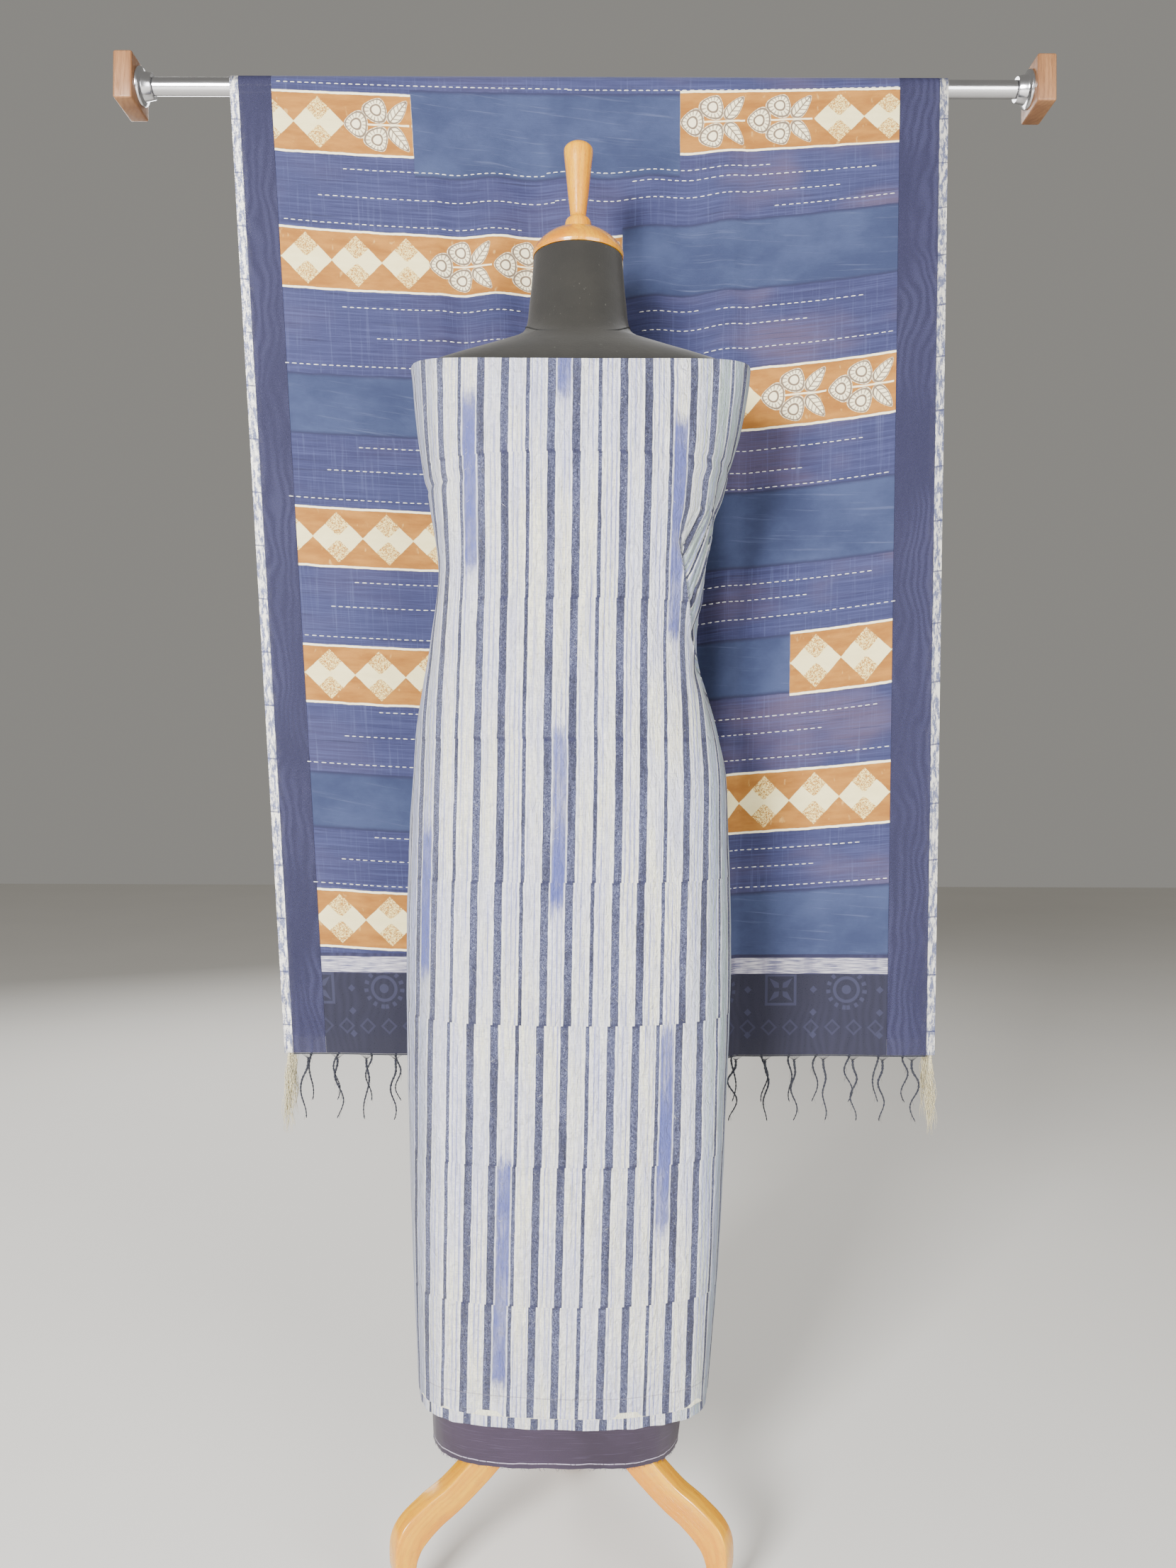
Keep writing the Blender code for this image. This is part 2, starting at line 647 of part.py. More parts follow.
def strip_columns(name):
    """Threads across one selvedge or border strip, half a seam gap in from its neighbours."""
    strip = Strip(*STRIPS[name])
    return spread(strip.start + SEAM_GAP / 2, strip.end - SEAM_GAP / 2, strip.columns)


def fall_rows(start, end):
    """Distances down one fall from start to end, with short steps over the rod."""
    over_rod = spread(start, QUARTER_TURN, OVER_ROD_STEPS)
    return over_rod + spread(QUARTER_TURN, end, FALL_ROWS)[1:]


def build_dupatta():
    """The dupatta's front and back falls: printed panel, sheer borders, zari selvedges and ends."""
    for side, fall, hem_height in ((-1.0, "front", FRONT_HEM_HEIGHT), (1.0, "back", BACK_HEM_HEIGHT)):
        hem = QUARTER_TURN + RAIL_Z - hem_height
        raise_end = hem_height - FRONT_HEM_HEIGHT
        panel_end = QUARTER_TURN + RAIL_Z - PANEL_END_HEIGHT - raise_end

        def place(across, down, side=side):
            return dupatta_face(across, down, side)

        order = int(side)
        for strip in STRIPS:
            finish = "dupatta_sheer" if strip.startswith("border") else "zari"
            rows = fall_rows(TOP_SEAM, hem)[::order]
            sheet(f"dupatta_{strip}_{fall}", strip_columns(strip), rows, place, finish)
        panel_rows = fall_rows(TOP_SEAM, panel_end - SEAM_GAP / 2)[::order]
        sheet(f"dupatta_panel_{fall}", panel_columns(), panel_rows, place, "dupatta_print")
        end_rows = spread(panel_end + SEAM_GAP / 2, hem, END_ROWS)[::order]
        sheet(f"dupatta_end_{fall}", panel_columns(), end_rows, place, "dupatta_sheer")
        build_fringe(fall, side, hem)
        build_tassels(fall, side, hem)


def build_fringe(fall, side, hem):
    """One end's fringe: a narrow strip under the hem with its locks drawn down from it."""
    pitch = (DUPATTA_WIDTH - 2 * SELVEDGE) / LOCKS
    first = SELVEDGE + SEAM_GAP
    columns = [first]
    for lock in range(LOCKS):
        centre = SELVEDGE + pitch * (lock + 0.5)
        columns += [centre - LOCK_WIDTH / 2, centre + LOCK_WIDTH / 2]
    columns.append(DUPATTA_WIDTH - first)
    bm = bmesh.new()
    bmesh.ops.create_grid(bm, x_segments=len(columns) - 1, y_segments=1, size=1.0)
    strip_top = hem + SEAM_GAP
    for vert in bm.verts:
        column = columns[round((vert.co.x + 1.0) / 2.0 * (len(columns) - 1))]
        at_top = vert.co.y * -side > 0
        vert.co = dupatta_face(column, strip_top + (0.0 if at_top else STRIP_HEIGHT), side)
    strip_faces = list(bm.faces)
    grown = bmesh.ops.extrude_face_region(bm, geom=strip_faces)
    moved = [item for item in grown["geom"] if isinstance(item, bmesh.types.BMVert)]
    bmesh.ops.translate(bm, verts=moved, vec=(0.0, -side * STRIP_WALL, 0.0))
    bmesh.ops.recalc_face_normals(bm, faces=bm.faces)
    low = min(vert.co.z for vert in bm.verts) + STRIP_HEIGHT / 3
    under = [face for face in bm.faces if all(vert.co.z < low for vert in face.verts)]
    under.sort(key=lambda face: face.calc_center_median().x)
    locks = under[1::2]
    for row in LOCK_STEPS:
        step = LockStep(*row)
        grown = bmesh.ops.extrude_discrete_faces(bm, faces=locks)
        locks = sorted(grown["faces"], key=lambda face: face.calc_center_median().x)
        for index, face in enumerate(locks):
            lean = LOCK_LEAN * math.sin(LOCK_LEAN_PHASE * index + side)
            shift = Vector((lean, 0.0, -LOCK_LENGTH * step.length_share))
            shape_lock(face, step, shift)
    if bm.calc_volume(signed=True) < 0.0:
        bmesh.ops.reverse_faces(bm, faces=bm.faces)
    mesh = bpy.data.meshes.new(f"fringe_{fall}")
    bm.to_mesh(mesh)
    bm.free()
    add_object(f"fringe_{fall}", mesh, "fringe_thread")


def shape_lock(face, step, shift):
    """Move one lock's end face down, and size it against the face it was drawn from."""
    centre = face.calc_center_median()
    ordered = sorted(face.verts, key=lambda vert: vert.co.x)
    for pair in (ordered[:2], ordered[2:]):
        middle = (pair[0].co + pair[1].co) / 2
        for vert in pair:
            across = (middle - centre) * step.width_factor
            inward = (vert.co - middle) * step.wall_factor
            vert.co = centre + across + inward + shift


def build_tassels(fall, side, hem):
    """The silver tassels at one end's two corners."""
    for name, across in (("left", SELVEDGE / 2), ("right", DUPATTA_WIDTH - SELVEDGE / 2)):
        tassel = turned(f"tassel_{fall}_{name}", TASSEL_PROFILE, "tassel_thread", steps=TASSEL_STEPS)
        seat = dupatta_face(across, hem + SEAM_GAP, side)
        tassel.location = seat - Vector((0.0, side * WALL / 2, 0.0))


clear_scene()
PART = bpy.data.collections.new("salwar_kameez_suit")
bpy.context.scene.collection.children.link(PART)
MATERIALS = {name: make_material(name) for name in COLOURS}
build_stand()
build_form()
build_head()
build_kameez()
build_salwar()
build_rail()
build_dupatta()
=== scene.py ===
"""Dressed model of a salwar kameez suit shown on a limbless dress form, with its dupatta on a rail.

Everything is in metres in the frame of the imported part: +Z up, the viewer at -Y, the floor at z = 0.
"""
import functools
import json
import logging
import math
import random
from dataclasses import dataclass, field
from enum import Enum
from typing import Callable, Iterable, Sequence, Union

import bpy
from bpy.types import Material, Node, NodeSocket, NodeTree, Object
from mathutils import Matrix, Vector, noise

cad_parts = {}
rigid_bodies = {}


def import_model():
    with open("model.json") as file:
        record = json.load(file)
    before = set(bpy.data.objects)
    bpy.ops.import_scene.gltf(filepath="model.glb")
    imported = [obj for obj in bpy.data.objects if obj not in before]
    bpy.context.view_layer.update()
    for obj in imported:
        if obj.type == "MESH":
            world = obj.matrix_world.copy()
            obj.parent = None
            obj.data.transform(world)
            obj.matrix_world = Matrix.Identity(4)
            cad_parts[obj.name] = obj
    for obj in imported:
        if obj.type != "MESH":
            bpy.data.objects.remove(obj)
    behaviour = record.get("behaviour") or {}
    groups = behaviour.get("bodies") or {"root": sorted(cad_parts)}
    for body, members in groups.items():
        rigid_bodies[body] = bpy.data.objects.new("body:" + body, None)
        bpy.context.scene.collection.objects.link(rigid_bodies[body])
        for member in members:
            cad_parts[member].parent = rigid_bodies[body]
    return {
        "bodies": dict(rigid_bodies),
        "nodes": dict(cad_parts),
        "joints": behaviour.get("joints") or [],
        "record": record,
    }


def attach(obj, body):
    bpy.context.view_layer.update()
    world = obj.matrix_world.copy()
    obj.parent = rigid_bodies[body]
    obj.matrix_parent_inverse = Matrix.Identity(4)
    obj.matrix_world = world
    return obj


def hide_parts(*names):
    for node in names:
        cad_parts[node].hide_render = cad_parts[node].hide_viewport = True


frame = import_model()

LOG = logging.getLogger("salwar_kameez_suit")
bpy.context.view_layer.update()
CLOTH_UV = "cloth_metres"
WALL = 0.0012
SEAM_GAP = 0.0003
VISIBLE_WALL = 0.0008
LAYER = WALL + SEAM_GAP
NORMAL_STEP = 0.004

Feed = Union["Value", float, Sequence[float]]
Place = Callable[[float, float], Vector]
Profile = Sequence[tuple[float, float]]


class Slot(Enum):
    """Material slots of the record."""

    KAMEEZ = "kameez_cotton"
    SALWAR = "salwar_cotton"
    PRINT = "dupatta_print"
    SHEER = "dupatta_sheer"
    ZARI = "zari"
    FRINGE = "fringe_thread"
    TASSEL = "tassel_thread"
    COVER = "form_cover"
    WOOD = "varnished_wood"
    WALNUT = "block_walnut"
    CHROME = "chrome"


class Fall(Enum):
    """The two falls of the dupatta, by the way each faces along Y."""

    FRONT = -1
    BACK = 1


def smoothstep(value: float, low: float, high: float) -> float:
    """Ramp smoothly from 0 at and below a low value to 1 at and above a high one."""
    share = min(max((value - low) / (high - low), 0), 1)
    return share * share * (3 - 2 * share)


def spread(low: float, high: float, count: int) -> list[float]:
    """Divide a range evenly: count + 1 values from low to high."""
    return [low + (high - low) * step / count for step in range(count + 1)]


def read_table(rows: Sequence[Sequence[float]], key: float) -> list[float]:
    """Read every column of a table on smooth curves through its rows.

    Args:
        rows: Rows sorted by their first column.
        key: Value of the first column to read at.

    Returns:
        The other columns' values.
    """
    last = len(rows) - 1
    index = sum(1 for row in rows[1:last] if row[0] <= key)
    before, low = rows[max(index - 1, 0)], rows[index]
    high, after = rows[index + 1], rows[min(index + 2, last)]
    span = high[0] - low[0]
    share = min(max((key - low[0]) / span, 0), 1)
    square, cube = share * share, share ** 3
    values = []
    for column in range(1, len(low)):
        rise_low = span * (high[column] - before[column]) / (high[0] - before[0])
        rise_high = span * (after[column] - low[column]) / (after[0] - low[0])
        values.append((2 * cube - 3 * square + 1) * low[column] + (cube - 2 * square + share) * rise_low
                      + (3 * square - 2 * cube) * high[column] + (cube - square) * rise_high)
    return values


def paint(red: float, green: float, blue: float) -> tuple[float, float, float, float]:
    """Turn a display colour, 0 to 255 a channel, into the linear one with alpha that a node takes."""
    def linear(value: float) -> float:
        """Undo the display curve of one channel."""
        share = value / 255
        return share / 12.92 if share <= 0.04045 else ((share + 0.055) / 1.055) ** 2.4

    return linear(red), linear(green), linear(blue), 1


class Value:
    """What a node gives, with arithmetic that adds Math nodes."""

    def __init__(self, sheet: "NodeSheet", socket: NodeSocket) -> None:
        """Stand for a socket of a sheet's tree."""
        self.sheet, self.socket = sheet, socket

    def __add__(self, other: "Feed") -> "Value":
        """Add a value or a number."""
        return self.sheet.math("ADD", self, other)

    def __radd__(self, other: float) -> "Value":
        """Add this to a number."""
        return self.sheet.math("ADD", other, self)

    def __sub__(self, other: "Feed") -> "Value":
        """Take a value or a number away."""
        return self.sheet.math("SUBTRACT", self, other)

    def __rsub__(self, other: float) -> "Value":
        """Take this away from a number."""
        return self.sheet.math("SUBTRACT", other, self)

    def __mul__(self, other: "Feed") -> "Value":
        """Multiply by a value or a number."""
        return self.sheet.math("MULTIPLY", self, other)

    def __truediv__(self, other: "Feed") -> "Value":
        """Divide by a value or a number."""
        return self.sheet.math("DIVIDE", self, other)

    def __abs__(self) -> "Value":
        """Drop the sign."""
        return self.sheet.math("ABSOLUTE", self)


class NodeSheet:
    """Adds and joins the nodes of one tree in short calls."""

    def __init__(self, tree: NodeTree) -> None:
        """Work on a tree.

        Args:
            tree: The node tree to add to.
        """
        self.tree = tree

    def add(self, kind: str, **settings: object) -> Node:
        """Add a node.

        Args:
            kind: The node's type.
            **settings: Properties to set on it.

        Returns:
            The new node.
        """
        node = self.tree.nodes.new(kind)
        for name, value in settings.items():
            setattr(node, name, value)
        return node

    def feed(self, socket: NodeSocket, value: Feed) -> None:
        """Join a value to an input, or set the input to a constant."""
        if isinstance(value, Value):
            self.tree.links.new(value.socket, socket)
        else:
            socket.default_value = value

    def math(self, operation: str, *values: Feed, clamp: bool = False) -> Value:
        """Add one arithmetic step.

        Args:
            operation: The Math node's operation.
            *values: Its inputs in order.
            clamp: Whether the result is kept from 0 to 1.

        Returns:
            The result.
        """
        node = self.add("ShaderNodeMath", operation=operation, use_clamp=clamp)
        for socket, value in zip(node.inputs, values):
            self.feed(socket, value)
        return Value(self, node.outputs[0])

    def largest(self, values: Sequence[Feed]) -> Value:
        """Join several masks by the largest at each place."""
        return functools.reduce(lambda one, two: self.math("MAXIMUM", one, two), values)

    def total(self, values: Sequence[Feed]) -> Value:
        """Add several values up."""
        return functools.reduce(lambda one, two: self.math("ADD", one, two), values)

    def mix(self, share: Feed, low: Feed, high: Feed) -> Value:
        """Mix two colours.

        Args:
            share: How much of the second colour.
            low: First colour, a value or a display colour, 0 to 255 a channel.
            high: Second colour.

        Returns:
            The mixed colour.
        """
        node = self.add("ShaderNodeMix", data_type="RGBA")
        self.feed(node.inputs[0], share)
        for index, colour in ((6, low), (7, high)):
            self.feed(node.inputs[index], colour if isinstance(colour, Value) else paint(*colour))
        return Value(self, node.outputs[2])

    def ramp(self, value: Feed, low: Feed, high: Feed) -> Value:
        """Ramp a value smoothly from 0 at low to 1 at high, which may be the lesser of the two."""
        node = self.add("ShaderNodeMapRange", interpolation_type="SMOOTHSTEP")
        for index, feed in ((0, value), (1, low), (2, high)):
            self.feed(node.inputs[index], feed)
        return Value(self, node.outputs[0])

    def scaled(self, vector: Feed, scale: Sequence[float]) -> Value:
        """Stretch a vector by one factor an axis."""
        node = self.add("ShaderNodeVectorMath", operation="MULTIPLY")
        self.feed(node.inputs[0], vector)
        self.feed(node.inputs[1], scale)
        return Value(self, node.outputs[0])

    def turned(self, vector: Feed, degrees: float) -> Value:
        """Turn a vector about Z."""
        node = self.add("ShaderNodeVectorRotate", rotation_type="Z_AXIS")
        self.feed(node.inputs["Vector"], vector)
        node.inputs["Angle"].default_value = math.radians(degrees)
        return Value(self, node.outputs[0])

    def noise(self, vector: Feed, scale: Sequence[float], detail: float = 2.0,
              roughness: float = 0.5, distortion: float = 0.0) -> Value:
        """Add a noise of its own scale along each axis.

        Args:
            vector: Coordinates in metres.
            scale: Cells in a metre, along each axis.
            detail: Octaves.
            roughness: Strength of the finer octaves.
            distortion: How far the pattern is twisted.

        Returns:
            A value about 0.5.
        """
        node = self.add("ShaderNodeTexNoise")
        self.feed(node.inputs["Vector"], self.scaled(vector, scale))
        node.inputs["Scale"].default_value = 1.0
        node.inputs["Detail"].default_value = detail
        node.inputs["Roughness"].default_value = roughness
        node.inputs["Distortion"].default_value = distortion
        return Value(self, node.outputs["Fac"])

    def split(self, vector: Feed) -> tuple[Value, ...]:
        """Take a vector apart."""
        node = self.add("ShaderNodeSeparateXYZ")
        self.feed(node.inputs[0], vector)
        return tuple(Value(self, item) for item in node.outputs)

    def joined(self, *values: Feed) -> Value:
        """Make a vector from its parts."""
        node = self.add("ShaderNodeCombineXYZ")
        for socket, value in zip(node.inputs, values):
            self.feed(socket, value)
        return Value(self, node.outputs[0])

    @functools.cached_property
    def cloth(self) -> Value:
        """The piece's own map: metres across the cloth and along it."""
        return Value(self, self.add("ShaderNodeUVMap", uv_map=CLOTH_UV).outputs[0])

    def place(self) -> Value:
        """Read the place on the object in metres."""
        return Value(self, self.add("ShaderNodeTexCoord").outputs["Object"])

    def group(self, tree: NodeTree, **values: Feed) -> dict[str, Value]:
        """Place a node group.

        Args:
            tree: The group.
            **values: Its inputs, with _ for a space in a name.

        Returns:
            What it gives, by name.
        """
        node = self.add("ShaderNodeGroup", node_tree=tree)
        for name, value in values.items():
            self.feed(node.inputs[name.replace("_", " ")], value)
        return {item.name: Value(self, item) for item in node.outputs}

    def box(self, x: Feed, y: Feed, x_ends: Sequence[Feed], y_ends: Sequence[Feed],
            soft: Sequence[float]) -> Value:
        """Mask a rectangle from x and y, its ends along each, and the softness of its sides."""
        return self.group(Patterns.soft_box(), X=x, Y=y, X_Low=x_ends[0], X_High=x_ends[1], Y_Low=y_ends[0],
                          Y_High=y_ends[1], Soft_X=soft[0], Soft_Y=soft[1])["Mask"]

    def weave(self, threads: float = 1500.0) -> Value:
        """Read the height of a plain weave of a number of threads a metre."""
        return self.group(Patterns.weave(), Vector=self.cloth, Threads=threads)["Height"]

    def uneven(self, scale: Sequence[float], detail: float = 2.0, roughness: float = 0.5,
               distortion: float = 0.0) -> Value:
        """Add a noise over the cloth, by its cells in a metre across and along it."""
        return self.noise(self.cloth, (*scale, 1), detail, roughness, distortion)

    def bump(self, height: Feed, distance: float, strength: float = 1.0) -> Value:
        """Turn a height from 0 to 1 into a normal.

        Args:
            height: The height.
            distance: What a height of 1 is in metres.
            strength: Share of the effect.

        Returns:
            The normal.
        """
        node = self.add("ShaderNodeBump")
        node.inputs["Strength"].default_value = strength
        node.inputs["Distance"].default_value = distance
        self.feed(node.inputs["Height"], height)
        return Value(self, node.outputs[0])


class Patterns:
    """Shader node groups that several finishes use, each built once."""

    @staticmethod
    def begin(name: str, inputs: Iterable[str], outputs: Iterable[str]) -> tuple[NodeSheet, dict, dict]:
        """Start a group.

        Args:
            name: The group's name.
            inputs: Names of its inputs. Vector is a vector, and the others are numbers.
            outputs: Names of its outputs, all numbers.

        Returns:
            Its node sheet, its inputs inside, and its outputs inside.
        """
        tree = bpy.data.node_groups.new(name, "ShaderNodeTree")
        for entry in inputs:
            kind = "NodeSocketVector" if entry == "Vector" else "NodeSocketFloat"
            tree.interface.new_socket(entry, in_out="INPUT", socket_type=kind)
        for entry in outputs:
            tree.interface.new_socket(entry, in_out="OUTPUT", socket_type="NodeSocketFloat")
        sheet = NodeSheet(tree)
        begin = sheet.add("NodeGroupInput")
        end = sheet.add("NodeGroupOutput")
        given = {item.name: Value(sheet, item) for item in begin.outputs}
        return sheet, given, {item.name: item for item in end.inputs}

    @classmethod
    @functools.cache
    def weave(cls) -> NodeTree:
        """Plain weave of a given number of threads a metre, uneven as hand-spun thread is."""
        sheet, given, out = cls.begin("plain_weave", ["Vector", "Threads"], ["Height"])
        across, along, _ = sheet.split(given["Vector"])
        waver = sheet.noise(given["Vector"], (90, 90, 90), detail=1)
        shift = waver * 2.5
        angles = [axis * (given["Threads"] * math.pi) + shift for axis in (across, along)]
        waves = [sheet.math("SINE", angle) for angle in angles]
        height = sheet.math("MULTIPLY", *waves) * 0.5 + 0.5
        sheet.feed(out["Height"], height)
        return sheet.tree

    @classmethod
    @functools.cache
    def soft_box(cls) -> NodeTree:
        """Mask of a rectangle with its own softness along each side."""
        sheet, given, out = cls.begin(
            "soft_box", ["X", "Y", "X Low", "X High", "Y Low", "Y High", "Soft X", "Soft Y"], ["Mask"])
        masks = []
        for axis in ("X", "Y"):
            soft = given[f"Soft {axis}"]
            low, high = given[f"{axis} Low"], given[f"{axis} High"]
            masks.append(sheet.ramp(given[axis], low - soft, low + soft))
            masks.append(sheet.ramp(given[axis], high + soft, high - soft))
        mask = functools.reduce(lambda one, two: one * two, masks)
        sheet.feed(out["Mask"], mask)
        return sheet.tree

    @classmethod
    @functools.cache
    def stripe(cls) -> NodeTree:
        """Mask of a repeated stripe, and of the pale line at each of its edges."""
        sheet, given, out = cls.begin(
            "stripe", ["Position", "Centre", "Repeat", "Half Width", "Soft"], ["Mask", "Edge"])
        half = given["Repeat"] * 0.5
        offset = given["Position"] - given["Centre"]
        wrapped = sheet.math("WRAP", offset, half, half * -1)
        distance = abs(wrapped)
        low = given["Half Width"] - given["Soft"]
        high = given["Half Width"] + given["Soft"]
        mask = sheet.ramp(distance, high, low)
        halo = sheet.ramp(distance, high + 0.0022, high)
        sheet.feed(out["Mask"], mask)
        sheet.feed(out["Edge"], sheet.math("SUBTRACT", halo, mask, clamp=True))
        return sheet.tree

    @classmethod
    @functools.cache
    def flecks(cls) -> NodeTree:
        """Short thin threads lying one way, thicker than those of the weave."""
        sheet, given, out = cls.begin("flecks", ["Vector", "Amount"], ["Mask"])
        lines = sheet.noise(given["Vector"], (85, 1500, 1), detail=1, roughness=0.4)
        limit = 0.79 - given["Amount"]
        sheet.feed(out["Mask"], sheet.ramp(lines, limit, limit + 0.05))
        return sheet.tree

    @classmethod
    @functools.cache
    def petal(cls) -> NodeTree:
        """Distance from the middle of an oval leaf or bud, 1 at its outline, with its own coordinates."""
        sheet, given, out = cls.begin(
            "petal", ["X", "Y", "Centre X", "Centre Y", "Cosine", "Sine", "Length", "Width"],
            ["Distance", "Along", "Aside"])
        away = [given[axis] - given[f"Centre {axis}"] for axis in ("X", "Y")]
        along = away[0] * given["Cosine"] + away[1] * given["Sine"]
        aside = away[1] * given["Cosine"] - away[0] * given["Sine"]
        along = along / given["Length"]
        aside = aside / given["Width"]
        squares = [value * value for value in (along, aside)]
        sheet.feed(out["Distance"], sheet.math("SQRT", sheet.math("ADD", *squares)))
        sheet.feed(out["Along"], along)
        sheet.feed(out["Aside"], aside)
        return sheet.tree

    @classmethod
    @functools.cache
    def grain(cls) -> NodeTree:
        """Wood grain that runs along X: growth rings cut lengthwise, fine pores and slow changes of tone."""
        sheet, given, out = cls.begin("wood_grain", ["Vector"], ["Rings", "Pores", "Tone"])
        vector = given["Vector"]
        warp = sheet.noise(vector, (7, 40, 40), detail=2)
        _, aside, upward = sheet.split(vector)
        wave = aside * 900 + upward * 500
        wave = wave + warp * 16
        rings = sheet.math("SINE", wave) * 0.5 + 0.5
        pores = sheet.ramp(sheet.noise(vector, (60, 1600, 1600), detail=2), 0.56, 0.68)
        sheet.feed(out["Rings"], rings)
        sheet.feed(out["Pores"], pores)
        sheet.feed(out["Tone"], sheet.noise(vector, (5, 26, 26), detail=3))
        return sheet.tree


@dataclass(frozen=True)
class Finish:
    """A material made of nodes, and the record's slot that it belongs to."""

    slot: Slot
    roughness: float = 0.8
    sheen: float = 0.0
    coat: float = 0.0
    metallic: float = 0.0

    def paint(self, sheet: NodeSheet, shader: Node) -> None:
        """Lay the finish's nodes. Each kind of finish has its own."""
        raise NotImplementedError

    @functools.cached_property
    def material(self) -> Material:
        """The finish's material, made when first asked for."""
        material = bpy.data.materials.new(type(self).__name__ + "_" + self.slot.value)
        material.use_nodes = True
        shader = material.node_tree.nodes["Principled BSDF"]
        shader.inputs["Roughness"].default_value = self.roughness
        shader.inputs["Metallic"].default_value = self.metallic
        shader.inputs["Sheen Weight"].default_value = self.sheen
        shader.inputs["Coat Weight"].default_value = self.coat
        shader.inputs["Coat Roughness"].default_value = 0.12
        self.paint(NodeSheet(material.node_tree), shader)
        return material


@dataclass(frozen=True)
class StripedCotton(Finish):
    """Crinkled cotton, block printed with indigo stripes on cream.

    The print repeats one narrow stripe and two wide ones. Each block of it is a little
    to the left of the block above, and some gaps are filled with a wash that fades out.
    """

    repeat: float = 0.0752
    centres: tuple[tuple[float, float], ...] = ((0.0, 0.0021), (0.0247, 0.0043), (0.0507, 0.0043))
    foot: float = 0.203
    block_top: float = 1.2435
    block_length: float = 0.1527
    washes: tuple[tuple[float, float, float], ...] = (
        (-0.1385, 1.124, 1.308), (0.087, 1.05, 1.283), (-0.0375, 0.757, 0.95), (-0.188, 0.681, 0.84),
        (0.087, 0.409, 0.628), (-0.0868, 0.238, 0.487), (-0.0375, 1.302, 1.4), (0.345, 0.56, 0.8),
        (-0.33, 0.9, 1.12), (0.42, 0.98, 1.2), (-0.43, 0.33, 0.56), (0.274, 0.25, 0.42),
    )

    def paint(self, sheet: NodeSheet, shader: Node) -> None:
        """Lay cream cloth, washes, stripes and crinkle."""
        across, along, _ = sheet.split(sheet.cloth)
        steps = (self.block_top - along) / self.block_length
        block = sheet.math("FLOOR", steps)
        within = sheet.math("FRACT", steps)
        place = within * 0.4 + 1 + block
        jitter = sheet.add("ShaderNodeTexWhiteNoise", noise_dimensions="1D")
        sheet.feed(jitter.inputs["W"], block)
        offset = sheet.total([0.0246, place * -0.0006, place * place * -0.00036, within * -0.0008,
                              Value(sheet, jitter.outputs["Value"]) * 0.0014])
        width = place * -0.005 + 1.036
        printed = (across - offset) / width
        waver = sheet.uneven((260, 55), detail=3, roughness=0.6)
        printed = printed + (waver * 0.0019 - 0.00095)
        stripes = [sheet.group(Patterns.stripe(), Position=printed, Centre=centre, Repeat=self.repeat,
                               Half_Width=half, Soft=0.00035) for centre, half in self.centres]
        dark = sheet.largest([stripe["Mask"] for stripe in stripes])
        edge = sheet.largest([stripe["Edge"] for stripe in stripes])
        overlap = sheet.ramp(abs(within - 0.5), 0.483, 0.49)

        ground = self.ground(sheet, printed)
        washed = self.washed(sheet, printed, along)
        colour = sheet.mix(washed, ground, (74, 84, 160))
        colour = sheet.mix(edge * 0.75, colour, (255, 254, 246))
        colour = sheet.mix(dark, colour, self.dark(sheet, overlap))
        slub = sheet.largest([self.slub(sheet, degrees) for degrees in (38, -31, 64)])
        colour = sheet.mix(slub * 0.8, colour, (252, 252, 248))
        colour = self.hem(sheet, across, along, colour)
        sheet.feed(shader.inputs["Base Color"], colour)

        weave = sheet.weave(1300)
        crinkle = sheet.uneven((150, 60), detail=4, roughness=0.62, distortion=0.8)
        pleat = sheet.uneven((420, 22), detail=2)
        fine = sheet.uneven((460, 190), detail=3, roughness=0.6, distortion=1.4)
        height = sheet.total([crinkle, pleat * 0.35, fine * 0.3, slub * 0.25, weave * 0.04])
        sheet.feed(shader.inputs["Normal"], sheet.bump(height, 0.01))

    def ground(self, sheet: NodeSheet, printed: Value) -> Value:
        """Lay the cream cloth with its lavender pinstripes and streaks, and painted shade: grey-green towards
        the right side and grey-blue towards the left.

        Args:
            sheet: The material's nodes.
            printed: Place across the print.

        Returns:
            The colour.
        """
        streak = sheet.ramp(sheet.uneven((430, 9), detail=3, roughness=0.6), 0.42, 0.62)
        pin = sheet.group(Patterns.stripe(), Position=printed, Centre=0.0026, Repeat=0.0049,
                          Half_Width=0.0007, Soft=0.0005)["Mask"]
        faded = sheet.ramp(sheet.uneven((64, 4), detail=2), 0.42, 0.58)
        tone = sheet.ramp(sheet.uneven((9, 5), detail=3), 0.38, 0.62)
        across, _, _ = sheet.split(sheet.cloth)
        colour = sheet.mix(tone, (255, 251, 224), (236, 236, 242))
        # Painted shade: past 0.112 m right of the centre front the cloth is mixed towards grey-green, and
        # past 0.14 m left of it towards grey-blue, darkening the sides that turn from the light.
        right, left = sheet.ramp(across, 0.112, 0.17), sheet.ramp(across, -0.14, -0.19)
        colour = sheet.mix(right * 0.85, colour, (120, 150, 142))
        colour = sheet.mix(left * 0.85, colour, (122, 132, 152))
        for scale in ((90, 1100, 1), (1100, 70, 1)):
            thread = sheet.ramp(sheet.noise(sheet.cloth, scale, detail=2, roughness=0.6), 0.5, 0.68)
            colour = sheet.mix(thread * 0.5, colour, (172, 172, 196))
        colour = sheet.mix(streak * 0.6, colour, (182, 184, 220))
        return sheet.mix(pin * faded * 0.9, colour, (146, 150, 204))

